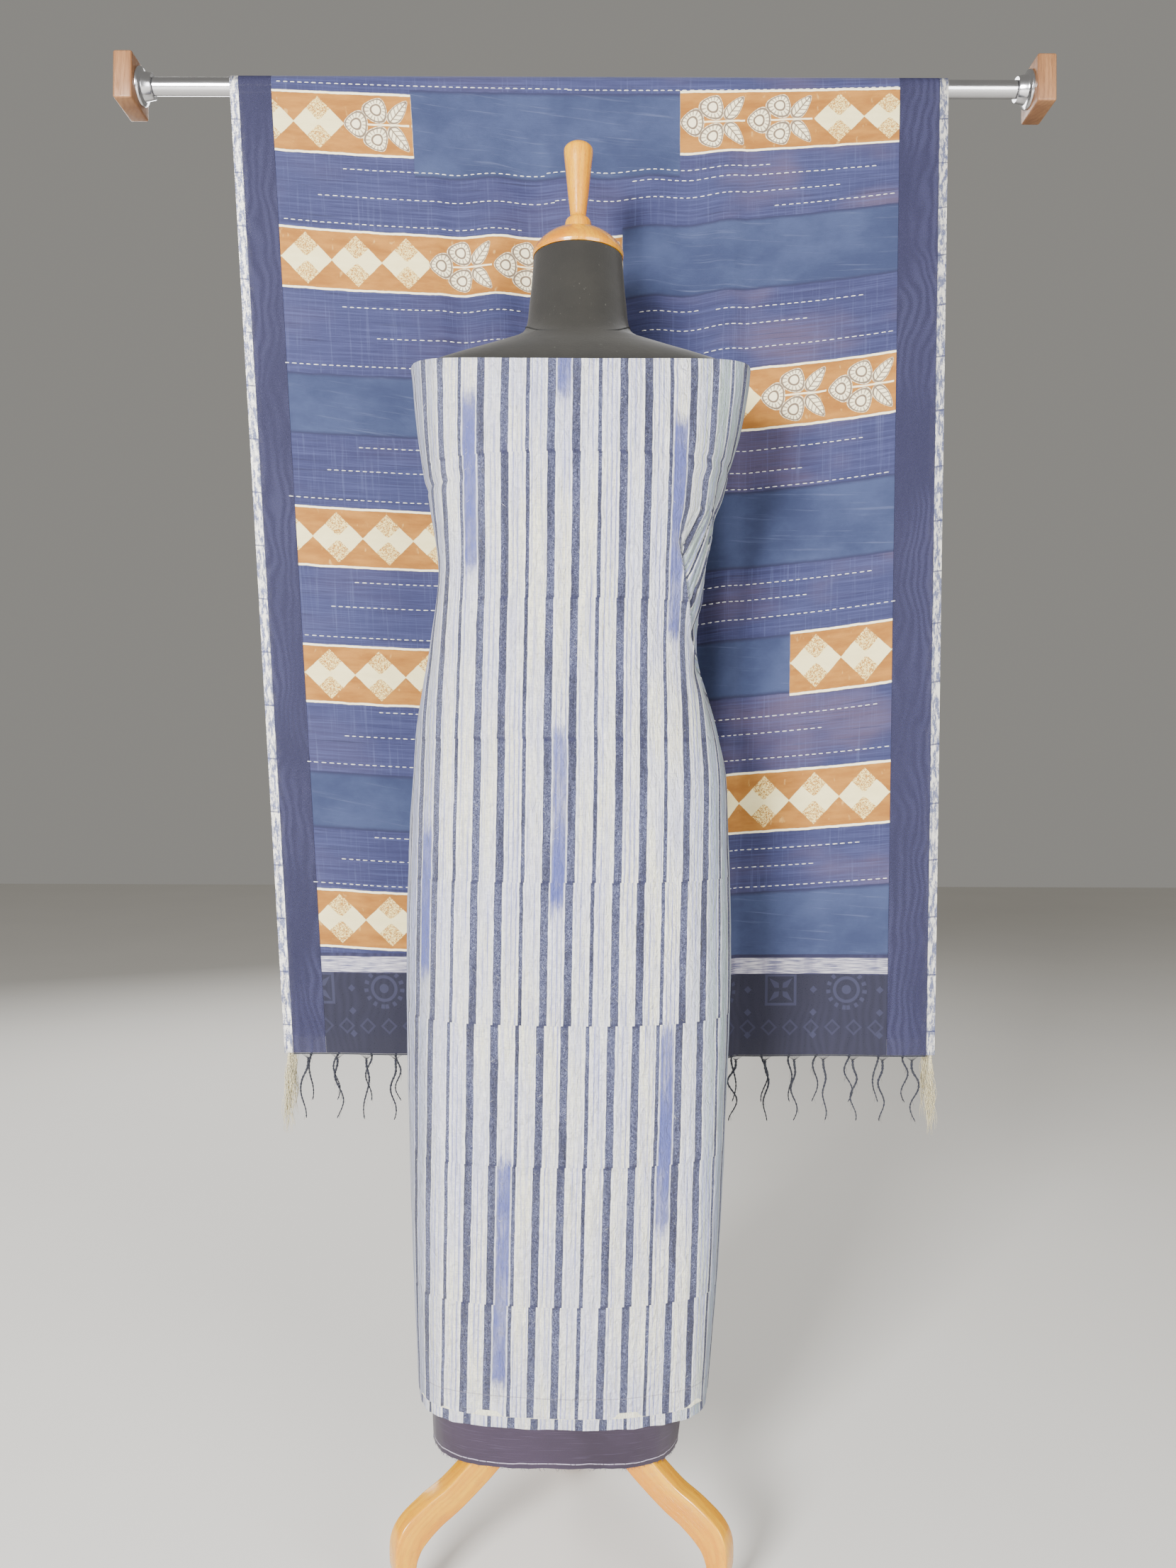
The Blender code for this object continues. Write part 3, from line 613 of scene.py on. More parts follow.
    def hem(self, sheet: NodeSheet, across: Value, along: Value, colour: Value) -> Value:
        """Lay painted shade along the hem's fold line, and the unprinted cream beside its edge.

        Args:
            sheet: The material's nodes.
            across: Metres across.
            along: Metres along.
            colour: What lies below.

        Returns:
            The colour.
        """
        drift = sheet.uneven((9, 1), detail=1) * 0.004 - 0.002
        line = along - (drift + (self.foot + 0.0225))
        # Painted shade: a thin grey line along the crease of the hem's fold, 22.5 mm above the foot.
        fold = sheet.ramp(abs(line), 0.0009, 0.0003)
        colour = sheet.mix(fold * 0.5, colour, (120, 116, 134))
        bits = sheet.noise(sheet.joined(across, 0, 0), (26, 1, 1), detail=0)
        reach = sheet.ramp(bits, 0.5, 0.66) * 0.0065 + (self.foot - 0.0005)
        bare = sheet.ramp(along - reach, 0.0007, -0.0003)
        bare = bare * sheet.math("GREATER_THAN", along, self.foot - 0.0012)
        return sheet.mix(bare, colour, (252, 248, 222))

    def washed(self, sheet: NodeSheet, printed: Value, along: Value) -> Value:
        """Lay the washes that fill some gaps between stripes.

        Args:
            sheet: The material's nodes.
            printed: Place across the print.
            along: Metres along the cloth.

        Returns:
            The washes' mask.
        """
        ragged = sheet.uneven((160, 60), detail=3)
        height = along + (ragged * 0.03 - 0.015)
        washes = [sheet.box(printed, height, (middle - 0.0105, middle + 0.0105), (low, high),
                            (0.0008, 0.013)) for middle, low, high in self.washes]
        cloudy = sheet.ramp(sheet.uneven((30, 9), detail=4, roughness=0.65), 0.2, 0.6)
        return sheet.largest(washes) * (cloudy * 0.45 + 0.5)

    def dark(self, sheet: NodeSheet, overlap: Value) -> Value:
        """Lay the indigo of the stripes, flecked where the block didn't reach the thread.

        Args:
            sheet: The material's nodes.
            overlap: Where two blocks meet and the dye lies twice.

        Returns:
            The colour.
        """
        worn = sheet.ramp(sheet.uneven((620, 520), detail=2, roughness=0.75, distortion=1.8), 0.46, 0.62)
        full = sheet.ramp(sheet.uneven((60, 9), detail=2), 0.36, 0.6)
        worn = worn * (full * 0.5 + 0.35)
        colour = sheet.mix(full, (30, 31, 60), (42, 45, 78))
        colour = sheet.mix(worn, colour, (134, 140, 178))
        return sheet.mix(overlap * 0.8, colour, (34, 36, 72))

    def slub(self, sheet: NodeSheet, degrees: float) -> Value:
        """Lay short pale threads that lie one way."""
        return sheet.group(Patterns.flecks(), Vector=sheet.turned(sheet.cloth, degrees), Amount=0.035)["Mask"]


@dataclass(frozen=True)
class PlainCotton(Finish):
    """Plain dyed cotton with a pale line of stitches above its raw hem."""

    hem: float = 0.146

    def paint(self, sheet: NodeSheet, shader: Node) -> None:
        """Lay the dyed cloth, its hem stitches and its weave."""
        _, along, _ = sheet.split(sheet.cloth)
        tone = sheet.uneven((6, 9), detail=4, roughness=0.6)
        slub = sheet.uneven((24, 900), detail=2)
        colour = sheet.mix(sheet.ramp(tone, 0.3, 0.7), (37, 26, 42), (48, 36, 54))
        colour = sheet.mix(sheet.ramp(slub, 0.55, 0.75) * 0.35, colour, (84, 73, 96))
        drift = sheet.uneven((30, 1), detail=1)
        height = along - (drift * 0.003 + (self.hem + 0.0035))
        line = sheet.ramp(abs(height), 0.0007, 0.0003)
        broken = sheet.ramp(sheet.uneven((420, 1), detail=1), 0.3, 0.45)
        stitch = line * broken
        colour = sheet.mix(stitch * 0.8, colour, (176, 166, 186))
        below = sheet.ramp(along, self.hem + 0.004, self.hem)
        colour = sheet.mix(below * 0.35, colour, (40, 34, 50))
        sheet.feed(shader.inputs["Base Color"], colour)
        weave = sheet.weave()
        soft = sheet.uneven((26, 12), detail=3)
        height = sheet.total([soft * 1.2, weave * 0.1, stitch * 0.4, slub * 0.15])
        sheet.feed(shader.inputs["Normal"], sheet.bump(height, 0.0012))


@dataclass(frozen=True)
class Band:
    """An ochre band of the dupatta's print, in metres across it and along its weft lines."""

    start: float
    end: float
    top: float
    depth: float
    tip: float
    sprigs_from: float
    sprigs_to: float


@dataclass(frozen=True)
class BlockPrint(Finish):
    """Indigo cloth brushed along its weft, with ochre bands of diamonds and sprigs and plain blue panels."""

    bands: tuple[Band, ...] = (
        Band(0.04, 0.23, 0.03, 0.071, 0.079, 0.143, 0.23),
        Band(0.04, 0.5, 0.2, 0.074, 0.054, 0.242, 0.5),
        Band(0.04, 0.25, 0.558, 0.072, 0.0735, 0.9, 0.9),
        Band(0.04, 0.26, 0.735, 0.07, 0.054, 0.9, 0.9),
        Band(0.04, 0.25, 1.048, 0.07, 0.05, 0.9, 0.9),
        Band(0.577, 0.87, 0.021, 0.075, 0.749, 0.577, 0.749),
        Band(0.45, 0.87, 0.394, 0.073, 0.686, 0.686, 0.858),
        Band(0.728, 0.87, 0.736, 0.07, 0.729, 0.9, 0.9),
        Band(0.644, 0.87, 0.897, 0.07, 0.665, 0.9, 0.9),
    )
    panels: tuple[tuple[float, float, float, float], ...] = (
        (0.23, 0.577, 0.022, 0.127), (0.5, 0.87, 0.188, 0.286), (0.04, 0.45, 0.386, 0.464),
        (0.26, 0.87, 0.544, 0.645), (0.3, 0.728, 0.735, 0.806), (0.04, 0.4, 0.895, 0.968),
        (0.3, 0.87, 1.043, 1.13),
    )
    diamond: float = 0.064
    sprig: float = 0.086

    def paint(self, sheet: NodeSheet, shader: Node) -> None:
        """Lay the brushed indigo, the plain panels, the bands and the weave."""
        across, signed, _ = sheet.split(sheet.cloth)
        along = abs(signed)
        waver = sheet.uneven((55, 55), detail=3, roughness=0.6)
        across = across + (waver * 0.0016 - 0.0008)
        ragged = sheet.uneven((34, 34), detail=3, roughness=0.7)
        along = along + (ragged * 0.003 - 0.0015)
        colour = self.brushed(sheet)
        colour = self.plain(sheet, across, along, colour)
        band, piping, local, depth, flowered = self.windows(sheet, across, along)
        colour = sheet.mix(band, colour, self.ochre(sheet))
        colour = self.diamonds(sheet, local, depth,
                               sheet.math("SUBTRACT", band, flowered, clamp=True), colour)
        colour = self.flowers(sheet, local, depth, flowered, colour)
        colour = sheet.mix(piping, colour, (248, 238, 202))
        sheet.feed(shader.inputs["Base Color"], colour)
        weave = sheet.weave()
        soft = sheet.uneven((22, 30), detail=4, roughness=0.6, distortion=0.6)
        slub = sheet.uneven((10, 700), detail=2)
        height = sheet.total([soft * 1, slub * 0.16, weave * 0.08, piping * 0.3])
        sheet.feed(shader.inputs["Normal"], sheet.bump(height, 0.0015))

    def brushed(self, sheet: NodeSheet) -> Value:
        """Lay indigo brushed along the weft."""
        wide = sheet.ramp(sheet.uneven((3, 11), detail=3, roughness=0.6), 0.3, 0.7)
        streak = sheet.ramp(sheet.uneven((9, 420), detail=4, roughness=0.72), 0.4, 0.68)
        warp = sheet.ramp(sheet.uneven((260, 7), detail=3, roughness=0.7), 0.52, 0.72)
        across, _, _ = sheet.split(sheet.cloth)
        colour = sheet.mix(wide, (36, 38, 76), (42, 46, 84))
        rust = sheet.ramp(sheet.uneven((5, 9), detail=3), 0.46, 0.66)
        rust = rust * (sheet.ramp(across, 0.45, 0.75) * 0.5 + 0.12)
        colour = sheet.mix(rust, colour, (84, 68, 88))
        colour = sheet.mix(streak * 0.38, colour, (76, 82, 130))
        dark = sheet.ramp(sheet.uneven((7, 240), detail=3, roughness=0.7), 0.56, 0.7)
        colour = sheet.mix(dark * 0.55, colour, (26, 26, 52))
        return sheet.mix(warp * 0.22, colour, (96, 102, 146))

    def plain(self, sheet: NodeSheet, across: Value, along: Value, colour: Value) -> Value:
        """Lay the plain blue panels over the brushed cloth.

        Args:
            sheet: The material's nodes.
            across: Metres across, with the print's waver.
            along: Metres along, with the print's waver.
            colour: What lies below.

        Returns:
            The colour.
        """
        boxes = [sheet.box(across, along, (left, right), (top, foot), (0.0015, 0.0012)) for left, right,
                 top, foot in self.panels]
        inner = [sheet.box(across, along, (left, right), (top + 0.003, foot - 0.003), (0.001, 0.003))
                 for left, right, top, foot in self.panels]
        mask, middle = sheet.largest(boxes), sheet.largest(inner)
        cloudy = sheet.ramp(sheet.uneven((9, 12), detail=5, roughness=0.62), 0.35, 0.68)
        tone = sheet.mix(cloudy, (36, 46, 80), (52, 63, 98))
        drawn = sheet.noise(sheet.turned(sheet.cloth, -7), (7, 210, 1), detail=3, roughness=0.7)
        tone = sheet.mix(sheet.ramp(drawn, 0.56, 0.72) * 0.35, tone, (92, 100, 134))
        tone = sheet.mix(middle, (30, 32, 64), tone)
        return sheet.mix(mask, colour, tone)

    def windows(self, sheet: NodeSheet, across: Value, along: Value) -> tuple[Value, ...]:
        """Find where the ochre bands lie, and the place within them.

        Args:
            sheet: The material's nodes.
            across: Metres across, with the print's waver.
            along: Metres along, with the print's waver.

        Returns:
            The bands' mask, the piping's mask, metres from the band's first diamond or sprig,
            height in the band from -0.5 to 0.5, and the mask of the parts with sprigs.
        """
        masks, pipings, locals_, depths, flowered = [], [], [], [], []
        for band in self.bands:
            foot = band.top + band.depth
            window = sheet.box(across, along, (band.start, band.end), (band.top, foot), (0.0004, 0.0004))
            trim = sheet.box(across, along, (band.start, band.end), (band.top - 0.0028, foot + 0.0028),
                             (0.0006, 0.0005))
            leafy = sheet.math("GREATER_THAN", across, band.sprigs_from) * sheet.math("LESS_THAN", across,
                                                                                      band.sprigs_to)
            start = leafy * (band.sprigs_from - band.tip) + band.tip
            masks.append(window)
            pipings.append(sheet.math("SUBTRACT", trim, window, clamp=True))
            locals_.append(window * (across - start))
            height = (along - (band.top + band.depth / 2)) / band.depth
            depths.append(window * height)
            flowered.append(window * leafy)
        return (sheet.largest(masks), sheet.largest(pipings), sheet.total(locals_), sheet.total(depths),
                sheet.largest(flowered))

    def ochre(self, sheet: NodeSheet) -> Value:
        """Lay the bands' ochre, unevenly dyed."""
        tone = sheet.ramp(sheet.uneven((16, 60), detail=4, roughness=0.65), 0.32, 0.7)
        spots = sheet.ramp(sheet.uneven((120, 60), detail=2), 0.64, 0.74)
        colour = sheet.mix(tone, (146, 92, 26), (172, 116, 44))
        return sheet.mix(spots * 0.35, colour, (222, 186, 112))

    def diamonds(self, sheet: NodeSheet, local: Value, depth: Value, mask: Value, colour: Value) -> Value:
        """Lay a row of diamonds, each cut in four, plain at its sides and speckled above and below.

        Args:
            sheet: The material's nodes.
            local: Metres from the first diamond's tip.
            depth: Height in the band, from -0.5 to 0.5.
            mask: Where the row runs.
            colour: What lies below.

        Returns:
            The colour.
        """
        cells = sheet.math("FRACT", local / self.diamond)
        side = cells - 0.5
        rise = depth * 1.12
        one, two = (side + rise, side - rise)
        reach = sheet.math("MAXIMUM", abs(one), abs(two))
        inside = sheet.ramp(reach, 0.515, 0.5) * mask
        upright = sheet.ramp(one * two, -0.0022, -0.0034)
        clear = sheet.ramp(sheet.math("MINIMUM", abs(one), abs(two)), 0.018, 0.03)
        speckled = upright * clear
        worm = sheet.ramp(sheet.uneven((560, 560), detail=1, distortion=1.2), 0.47, 0.53)
        mottled = sheet.mix(worm, (236, 214, 142), (172, 122, 52))
        tone = sheet.mix(sheet.uneven((30, 90), detail=3), (244, 232, 180), (224, 208, 150))
        return sheet.mix(inside, colour, sheet.mix(speckled, tone, mottled))

    def flowers(self, sheet: NodeSheet, local: Value, depth: Value, mask: Value, colour: Value) -> Value:
        """Lay plain sprigs, each a stem with three round buds and two veined leaves.

        Args:
            sheet: The material's nodes.
            local: Metres from the first sprig's cell.
            depth: Height in the band, from -0.5 to 0.5.
            mask: Where the row runs.
            colour: What lies below.

        Returns:
            The colour.
        """
        cells = sheet.math("FRACT", local / self.sprig)
        along = (cells - 0.5) * self.sprig
        rise = depth * 0.072
        shapes, lines = [], []
        for x, y, degrees, length, width in (
                (-0.0275, 0, 180, 0.015, 0.0155), (-0.001, 0.0185, 62, 0.015, 0.0155),
                (-0.001, -0.0185, -62, 0.015, 0.0155), (0.027, 0.0165, 50, 0.018, 0.0085),
                (0.027, -0.0165, -50, 0.018, 0.0085)):
            turn = math.radians(degrees)
            petal = sheet.group(Patterns.petal(), X=along, Y=rise, Centre_X=x, Centre_Y=y,
                                Cosine=math.cos(turn), Sine=math.sin(turn), Length=length, Width=width)
            point = petal["Along"] * -0.42 + 1
            narrowed = petal["Aside"] / sheet.math("MAXIMUM", point, 0.3)
            distance = sheet.math("SQRT", narrowed * narrowed + petal["Along"] * petal["Along"])
            shapes.append(sheet.ramp(distance, 1.04, 0.98))
            ring = sheet.ramp(abs(distance - 0.9), 0.09, 0.04)
            fanned = length < width
            if fanned:
                rays = sheet.math("ARCTAN2", petal["Aside"], petal["Along"]) * 16
                inner = sheet.ramp(abs(distance - 0.42), 0.1, 0.05)
                band = sheet.ramp(distance, 0.5, 0.6) * sheet.ramp(sheet.math("SINE", rays), 0.3, 0.7)
            else:
                slant = petal["Along"] * 17 - abs(petal["Aside"]) * 6
                inner = sheet.ramp(abs(petal["Aside"]), 0.13, 0.05)
                band = sheet.ramp(sheet.math("SINE", slant), 0.45, 0.8)
            line = sheet.largest([ring, inner, band * 0.8])
            lines.append(line * sheet.ramp(distance, 1.02, 0.99))
        stem = sheet.box(along, rise, (-0.018, 0.0405), (-0.0011, 0.0011), (0.0004, 0.0004))
        shape = sheet.largest([*shapes, stem]) * mask
        line = sheet.largest(lines) * mask
        colour = sheet.mix(shape, colour, (244, 232, 196))
        return sheet.mix(line * 0.9, colour, (84, 60, 48))


@dataclass(frozen=True)
class SheerCotton(Finish):
    """Thin navy cloth that lets some light through, with the watered look of two layers.

    Its ends carry a zari band and small tone-on-tone figures below it.
    """

    alpha: float = 0.8
    figure_pitch: float = 0.1685
    zari_from: float = 9.0
    zari_to: float = 9.5

    def paint(self, sheet: NodeSheet, shader: Node) -> None:
        """Lay the dark cloth, its watered bands, its figures and its zari, with painted shade in the zari's
        folds.
        """
        across, signed, _ = sheet.split(sheet.cloth)
        along = abs(signed)
        twist = sheet.uneven((12, 7), detail=2)
        rings = across * 620 + twist * 46
        water = sheet.math("SINE", rings) * 0.5 + 0.5
        strength = sheet.ramp(sheet.uneven((9, 5), detail=2), 0.35, 0.6)
        colour = sheet.mix(sheet.uneven((4, 5), detail=3), (30, 31, 60), (40, 38, 70))
        colour = sheet.mix(water * strength * 0.11, colour, (104, 106, 150))
        below = sheet.ramp(along, self.zari_to, self.zari_to + 0.002)
        figure = self.figures(sheet, across, along) * below
        colour = sheet.mix(below * 0.7, colour, (22, 22, 34))
        colour = sheet.mix(figure * 0.55, colour, (56, 58, 84))
        band = sheet.box(across, along, (-1, 2), (self.zari_from, self.zari_to), (0.001, 0.0005))
        silver = sheet.mix(sheet.ramp(sheet.uneven((40, 1300), detail=3), 0.4, 0.6),
                           (84, 84, 112), (184, 180, 186))
        # Painted shade: long patches down the cloth darken the zari band where the dupatta's folds turn away
        # from the light.
        folded = sheet.ramp(sheet.uneven((60, 9), detail=2), 0.5, 0.7)
        silver = sheet.mix(folded * 0.5, silver, (84, 82, 110))
        colour = sheet.mix(band, colour, silver)
        sheet.feed(shader.inputs["Base Color"], colour)
        sheet.feed(shader.inputs["Metallic"], band * 0.45)
        sheet.feed(shader.inputs["Roughness"], band * -0.35 + self.roughness)
        thread = sheet.uneven((900, 900), detail=1)
        alpha = thread * 0.16 + (self.alpha - 0.08)
        sheet.feed(shader.inputs["Alpha"], sheet.math("MAXIMUM", alpha, band))
        weave = sheet.weave()
        soft = sheet.uneven((20, 14), detail=3)
        sheet.feed(shader.inputs["Normal"], sheet.bump(soft + weave * 0.1, 0.0014))

    def figures(self, sheet: NodeSheet, across: Value, along: Value) -> Value:
        """Lay rows of framed squares of four petals and of rosettes, in turn.

        Args:
            sheet: The material's nodes.
            across: Metres across the cloth.
            along: Metres along the cloth.

        Returns:
            Their mask.
        """
        half = self.figure_pitch / 2
        rise = along - (self.zari_to + 0.0205)
        level = abs(rise)
        side = sheet.math("WRAP", across - 0.048, half, -half)
        beside = abs(side)
        box = sheet.math("MAXIMUM", beside, level)
        frame = sheet.ramp(abs(box - 0.0185), 0.0022, 0.0013)
        skew = abs(beside - level)
        petals = sheet.ramp(skew + abs(box - 0.0085) * 0.9, 0.0062, 0.0052)
        away = half - beside
        radius = sheet.math("SQRT", away * away + rise * rise)
        rays = sheet.math("SINE", sheet.math("ARCTAN2", rise, away) * 14)
        outer = sheet.ramp(rays, 0, 0.4) * (sheet.ramp(radius, 0.02, 0.0206)
                                            * sheet.ramp(radius, 0.0262, 0.0254))
        ring = sheet.ramp(abs(radius - 0.015), 0.0024, 0.0016)
        heart = sheet.ramp(radius, 0.0062, 0.0054)
        small = abs(beside - half / 2) + abs(sheet.math("WRAP", rise, 0.0145, -0.0145))
        lower = abs(sheet.math("WRAP", across, 0.0136, -0.0136)) + abs(rise - 0.048)
        row = sheet.ramp(abs(lower - 0.0088), 0.0021, 0.0014) * 0.7
        return sheet.largest([frame, petals, outer, ring, heart, sheet.ramp(small, 0.0052, 0.0042), row])


@dataclass(frozen=True)
class Zari(Finish):
    """Silver-wrapped thread woven flat, tarnished in places, with painted glints."""

    def paint(self, sheet: NodeSheet, shader: Node) -> None:
        """Lay the silver, its tarnish, its painted glints and its ribs."""
        _, along, _ = sheet.split(sheet.cloth)
        tarnish = sheet.ramp(sheet.uneven((240, 60), detail=4, roughness=0.7), 0.42, 0.56)
        painted_glints = sheet.ramp(sheet.uneven((700, 500), detail=2), 0.6, 0.7)
        colour = sheet.mix(tarnish, (206, 202, 192), (92, 96, 122))
        # Painted highlight: small near-white glints scattered over the silver.
        colour = sheet.mix(painted_glints * 0.5, colour, (240, 240, 240))
        tack = abs(sheet.math("WRAP", abs(along), 0.034, -0.034))
        colour = sheet.mix(sheet.ramp(tack, 0.0014, 0.0006) * 0.8, colour, (46, 50, 84))
        sheet.feed(shader.inputs["Base Color"], colour)
        ribs = sheet.math("SINE", along * 5200)
        crush = sheet.uneven((90, 60), detail=4)
        height = crush + ribs * 0.05
        sheet.feed(shader.inputs["Normal"], sheet.bump(height, 0.0012))


@dataclass(frozen=True)
class Thread(Finish):
    """Spun thread of one colour with paler fibres."""

    base: tuple[int, int, int] = (40, 42, 70)
    fibre: tuple[int, int, int] = (92, 96, 130)

    def paint(self, sheet: NodeSheet, shader: Node) -> None:
        """Lay the thread's colour and its fibres."""
        place = sheet.place()
        fibre = sheet.ramp(sheet.noise(place, (900, 900, 500), detail=3, roughness=0.7), 0.42, 0.7)
        tone = sheet.noise(place, (60, 60, 30), detail=2)
        colour = sheet.mix(fibre * 0.6, self.base, self.fibre)
        colour = sheet.mix(tone * 0.3, colour, [value * 0.7 for value in self.base])
        sheet.feed(shader.inputs["Base Color"], colour)
        sheet.feed(shader.inputs["Normal"], sheet.bump(fibre, 0.0004, 0.8))


@dataclass(frozen=True)
class Jersey(Finish):
    """Matt charcoal cover of the form, a fine knit with a little lint."""

    def paint(self, sheet: NodeSheet, shader: Node) -> None:
        """Lay the charcoal, its knit and its lint."""
        place = sheet.place()
        tone = sheet.noise(place, (14, 14, 14), detail=4, roughness=0.6)
        colour = sheet.mix(sheet.ramp(tone, 0.3, 0.7), (23, 21, 17), (31, 29, 24))
        lint = sheet.ramp(sheet.noise(place, (420, 420, 420), detail=1), 0.74, 0.78)
        colour = sheet.mix(lint * 0.35, colour, (96, 94, 88))
        sheet.feed(shader.inputs["Base Color"], colour)
        knit = sheet.noise(place, (900, 900, 600), detail=2)
        soft = sheet.noise(place, (40, 40, 40), detail=2)
        sheet.feed(shader.inputs["Normal"], sheet.bump(knit * 0.4 + soft, 0.0009, 0.7))


@dataclass(frozen=True)
class Varnished(Finish):
    """Varnished wood, its grain along the piece's own map or up the object."""

    light: tuple[int, int, int] = (230, 168, 0)
    deep: tuple[int, int, int] = (202, 122, 0)
    pore: tuple[int, int, int] = (142, 82, 34)
    mapped: bool = False

    def paint(self, sheet: NodeSheet, shader: Node) -> None:
        """Lay the wood's rings, pores and tone."""
        if self.mapped:
            vector = sheet.cloth
        else:
            x, y, z = sheet.split(sheet.place())
            vector = sheet.joined(z, x, y)
        grain = sheet.group(Patterns.grain(), Vector=vector)
        rings = sheet.ramp(grain["Rings"], 0.25, 0.95)
        colour = sheet.mix(sheet.ramp(grain["Tone"], 0.3, 0.7), self.light, self.deep)
        colour = sheet.mix(rings * 0.35, colour, self.deep)
        colour = sheet.mix(grain["Pores"] * 0.4, colour, self.pore)
        sheet.feed(shader.inputs["Base Color"], colour)
        rough = sheet.noise(vector, (60, 60, 60), detail=3)
        sheet.feed(shader.inputs["Roughness"], rough * 0.2 + (self.roughness - 0.1))
        height = grain["Pores"] * -0.6 + rings * 0.3
        sheet.feed(shader.inputs["Normal"], sheet.bump(height, 0.0003, 0.6))


@dataclass(frozen=True)
class Chrome(Finish):
    """Bright plated metal with faint wiping marks."""

    def paint(self, sheet: NodeSheet, shader: Node) -> None:
        """Lay the plating and its marks."""
        place = sheet.place()
        marks = sheet.noise(place, (30, 260, 260), detail=4, roughness=0.7)
        dust = sheet.noise(place, (20, 30, 30), detail=3)
        sheet.feed(shader.inputs["Base Color"], sheet.mix(dust, (222, 222, 224), (204, 204, 208)))
        sheet.feed(shader.inputs["Roughness"], marks * 0.16 + self.roughness)
        sheet.feed(shader.inputs["Normal"], sheet.bump(marks, 0.0001, 0.3))


@dataclass(frozen=True)
class PaleFloor(Finish):
    """Plain pale floor."""

    def paint(self, sheet: NodeSheet, shader: Node) -> None:
        """Lay an almost even pale tone."""
        tone = sheet.noise(sheet.place(), (2, 2, 2), detail=3)
        sheet.feed(shader.inputs["Base Color"], sheet.mix(tone, (222, 219, 213), (228, 225, 219)))
        sheet.feed(shader.inputs["Normal"], sheet.bump(sheet.noise(sheet.place(), (90, 90, 90)), 0.0004,
                                                       0.2))


class Bench:
    """Models pieces with Blender's operators, as a hand would."""

    @staticmethod
    def clear() -> None:
        """Leave edit mode and select nothing."""
        if bpy.context.object and bpy.context.object.mode != "OBJECT":
            bpy.ops.object.mode_set(mode="OBJECT")
        bpy.ops.object.select_all(action="DESELECT")

    @staticmethod
    def named(name: str) -> Object:
        """Name the object just added, and its mesh."""
        piece = bpy.context.object
        piece.name = name
        piece.data.name = name
        return piece

    @classmethod
    def apply(cls, piece: Object, kind: str, **settings: object) -> None:
        """Add a modifier and apply it.

        Args:
            piece: The object.
            kind: The modifier's type.
            **settings: Its settings.
        """
        cls.clear()
        piece.select_set(True)
        bpy.context.view_layer.objects.active = piece
        modifier = piece.modifiers.new(kind.lower(), kind)
        for name, value in settings.items():
            setattr(modifier, name, value)
        bpy.ops.object.modifier_apply(modifier=modifier.name)

    @classmethod
    def smooth(cls, piece: Object, degrees: float = 180.0) -> None:
        """Shade a piece smooth where its faces meet at less than an angle."""
        cls.clear()
        piece.select_set(True)
        bpy.context.view_layer.objects.active = piece
        if degrees >= 180:
            bpy.ops.object.shade_smooth()
        else:
            bpy.ops.object.shade_smooth_by_angle(angle=math.radians(degrees))

    @classmethod
    def cloth(cls, name: str, columns: Sequence[float], rows: Sequence[float], place: Place,
              mapped: Callable[[int, int], tuple[float, float]], wall: float = VISIBLE_WALL) -> Object:
        """Shape a grid into cloth and give it a wall inwards.

        Args:
            name: The piece's name.
            columns: Values across the cloth.
            rows: Values along it.
            place: Gives the outer face's point at a column and a row.
            mapped: Gives metres across and along the cloth at a column's and a row's number.
            wall: The cloth's thickness.

        Returns:
            The piece.
        """
        cls.clear()
        across, along = len(columns) - 1, len(rows) - 1
        bpy.ops.mesh.primitive_grid_add(x_subdivisions=across, y_subdivisions=along, size=2)
        piece = cls.named(name)
        mesh = piece.data
        numbers = []
        for vertex in mesh.vertices:
            column = round((vertex.co.x + 1) / 2 * across)
            row = round((vertex.co.y + 1) / 2 * along)
            numbers.append((column, row))
            vertex.co = place(columns[column], rows[row])
        while mesh.uv_layers:
            mesh.uv_layers.remove(mesh.uv_layers[0])
        layer = mesh.uv_layers.new(name=CLOTH_UV)
        values = [value for loop in mesh.loops for value in mapped(*numbers[loop.vertex_index])]
        layer.data.foreach_set("uv", values)
        cls.apply(piece, "SOLIDIFY", thickness=wall, offset=-1, use_even_offset=False)
        cls.smooth(piece, 60)
        return piece

    @classmethod
    def turned(cls, name: str, profile: Profile, steps: int, seat: Matrix) -> Object:
        """Turn a closed piece from a profile.

        Args:
            name: The piece's name.
            profile: Radius against height, from one end to the other.
            steps: Sides round the piece.
            seat: Where the profile's axis stands.

        Returns:
            The piece.
        """
        cls.clear()
        radius, height = profile[0]
        bpy.ops.mesh.primitive_circle_add(vertices=steps, radius=radius, fill_type="NGON",
                                          location=(0, 0, height))
        piece = cls.named(name)
        bpy.ops.object.transform_apply(location=True, rotation=True, scale=True)
        bpy.ops.object.mode_set(mode="EDIT")
        bpy.ops.mesh.select_all(action="SELECT")
        for wider, higher in profile[1:]:
            bpy.ops.mesh.extrude_region_move(TRANSFORM_OT_translate={"value": (0, 0, higher - height)})
            growth = wider / radius
            bpy.ops.transform.resize(value=(growth, growth, 1), center_override=(0, 0, higher))
            radius, height = wider, higher
        bpy.ops.mesh.select_all(action="SELECT")
        bpy.ops.mesh.normals_make_consistent(inside=False)
        bpy.ops.object.mode_set(mode="OBJECT")
        piece.data.transform(seat)
        piece.data.update()
        cls.smooth(piece, 40)
        return piece

    @classmethod
    def assembled(cls, name: str, parts: Sequence[tuple[list, list]]) -> Object:
        """Join many small shapes in one mesh.

        Args:
            name: The piece's name.
            parts: Each shape's points and faces.

        Returns:
            The piece.
        """
        points, faces = [], []
        for part_points, part_faces in parts:
            base = len(points)
            points += part_points
            faces += [[base + index for index in face] for face in part_faces]
        mesh = bpy.data.meshes.new(name)
        mesh.from_pydata(points, [], faces)
        piece = bpy.data.objects.new(name, mesh)
        bpy.context.scene.collection.objects.link(piece)
        cls.smooth(piece)
        return piece

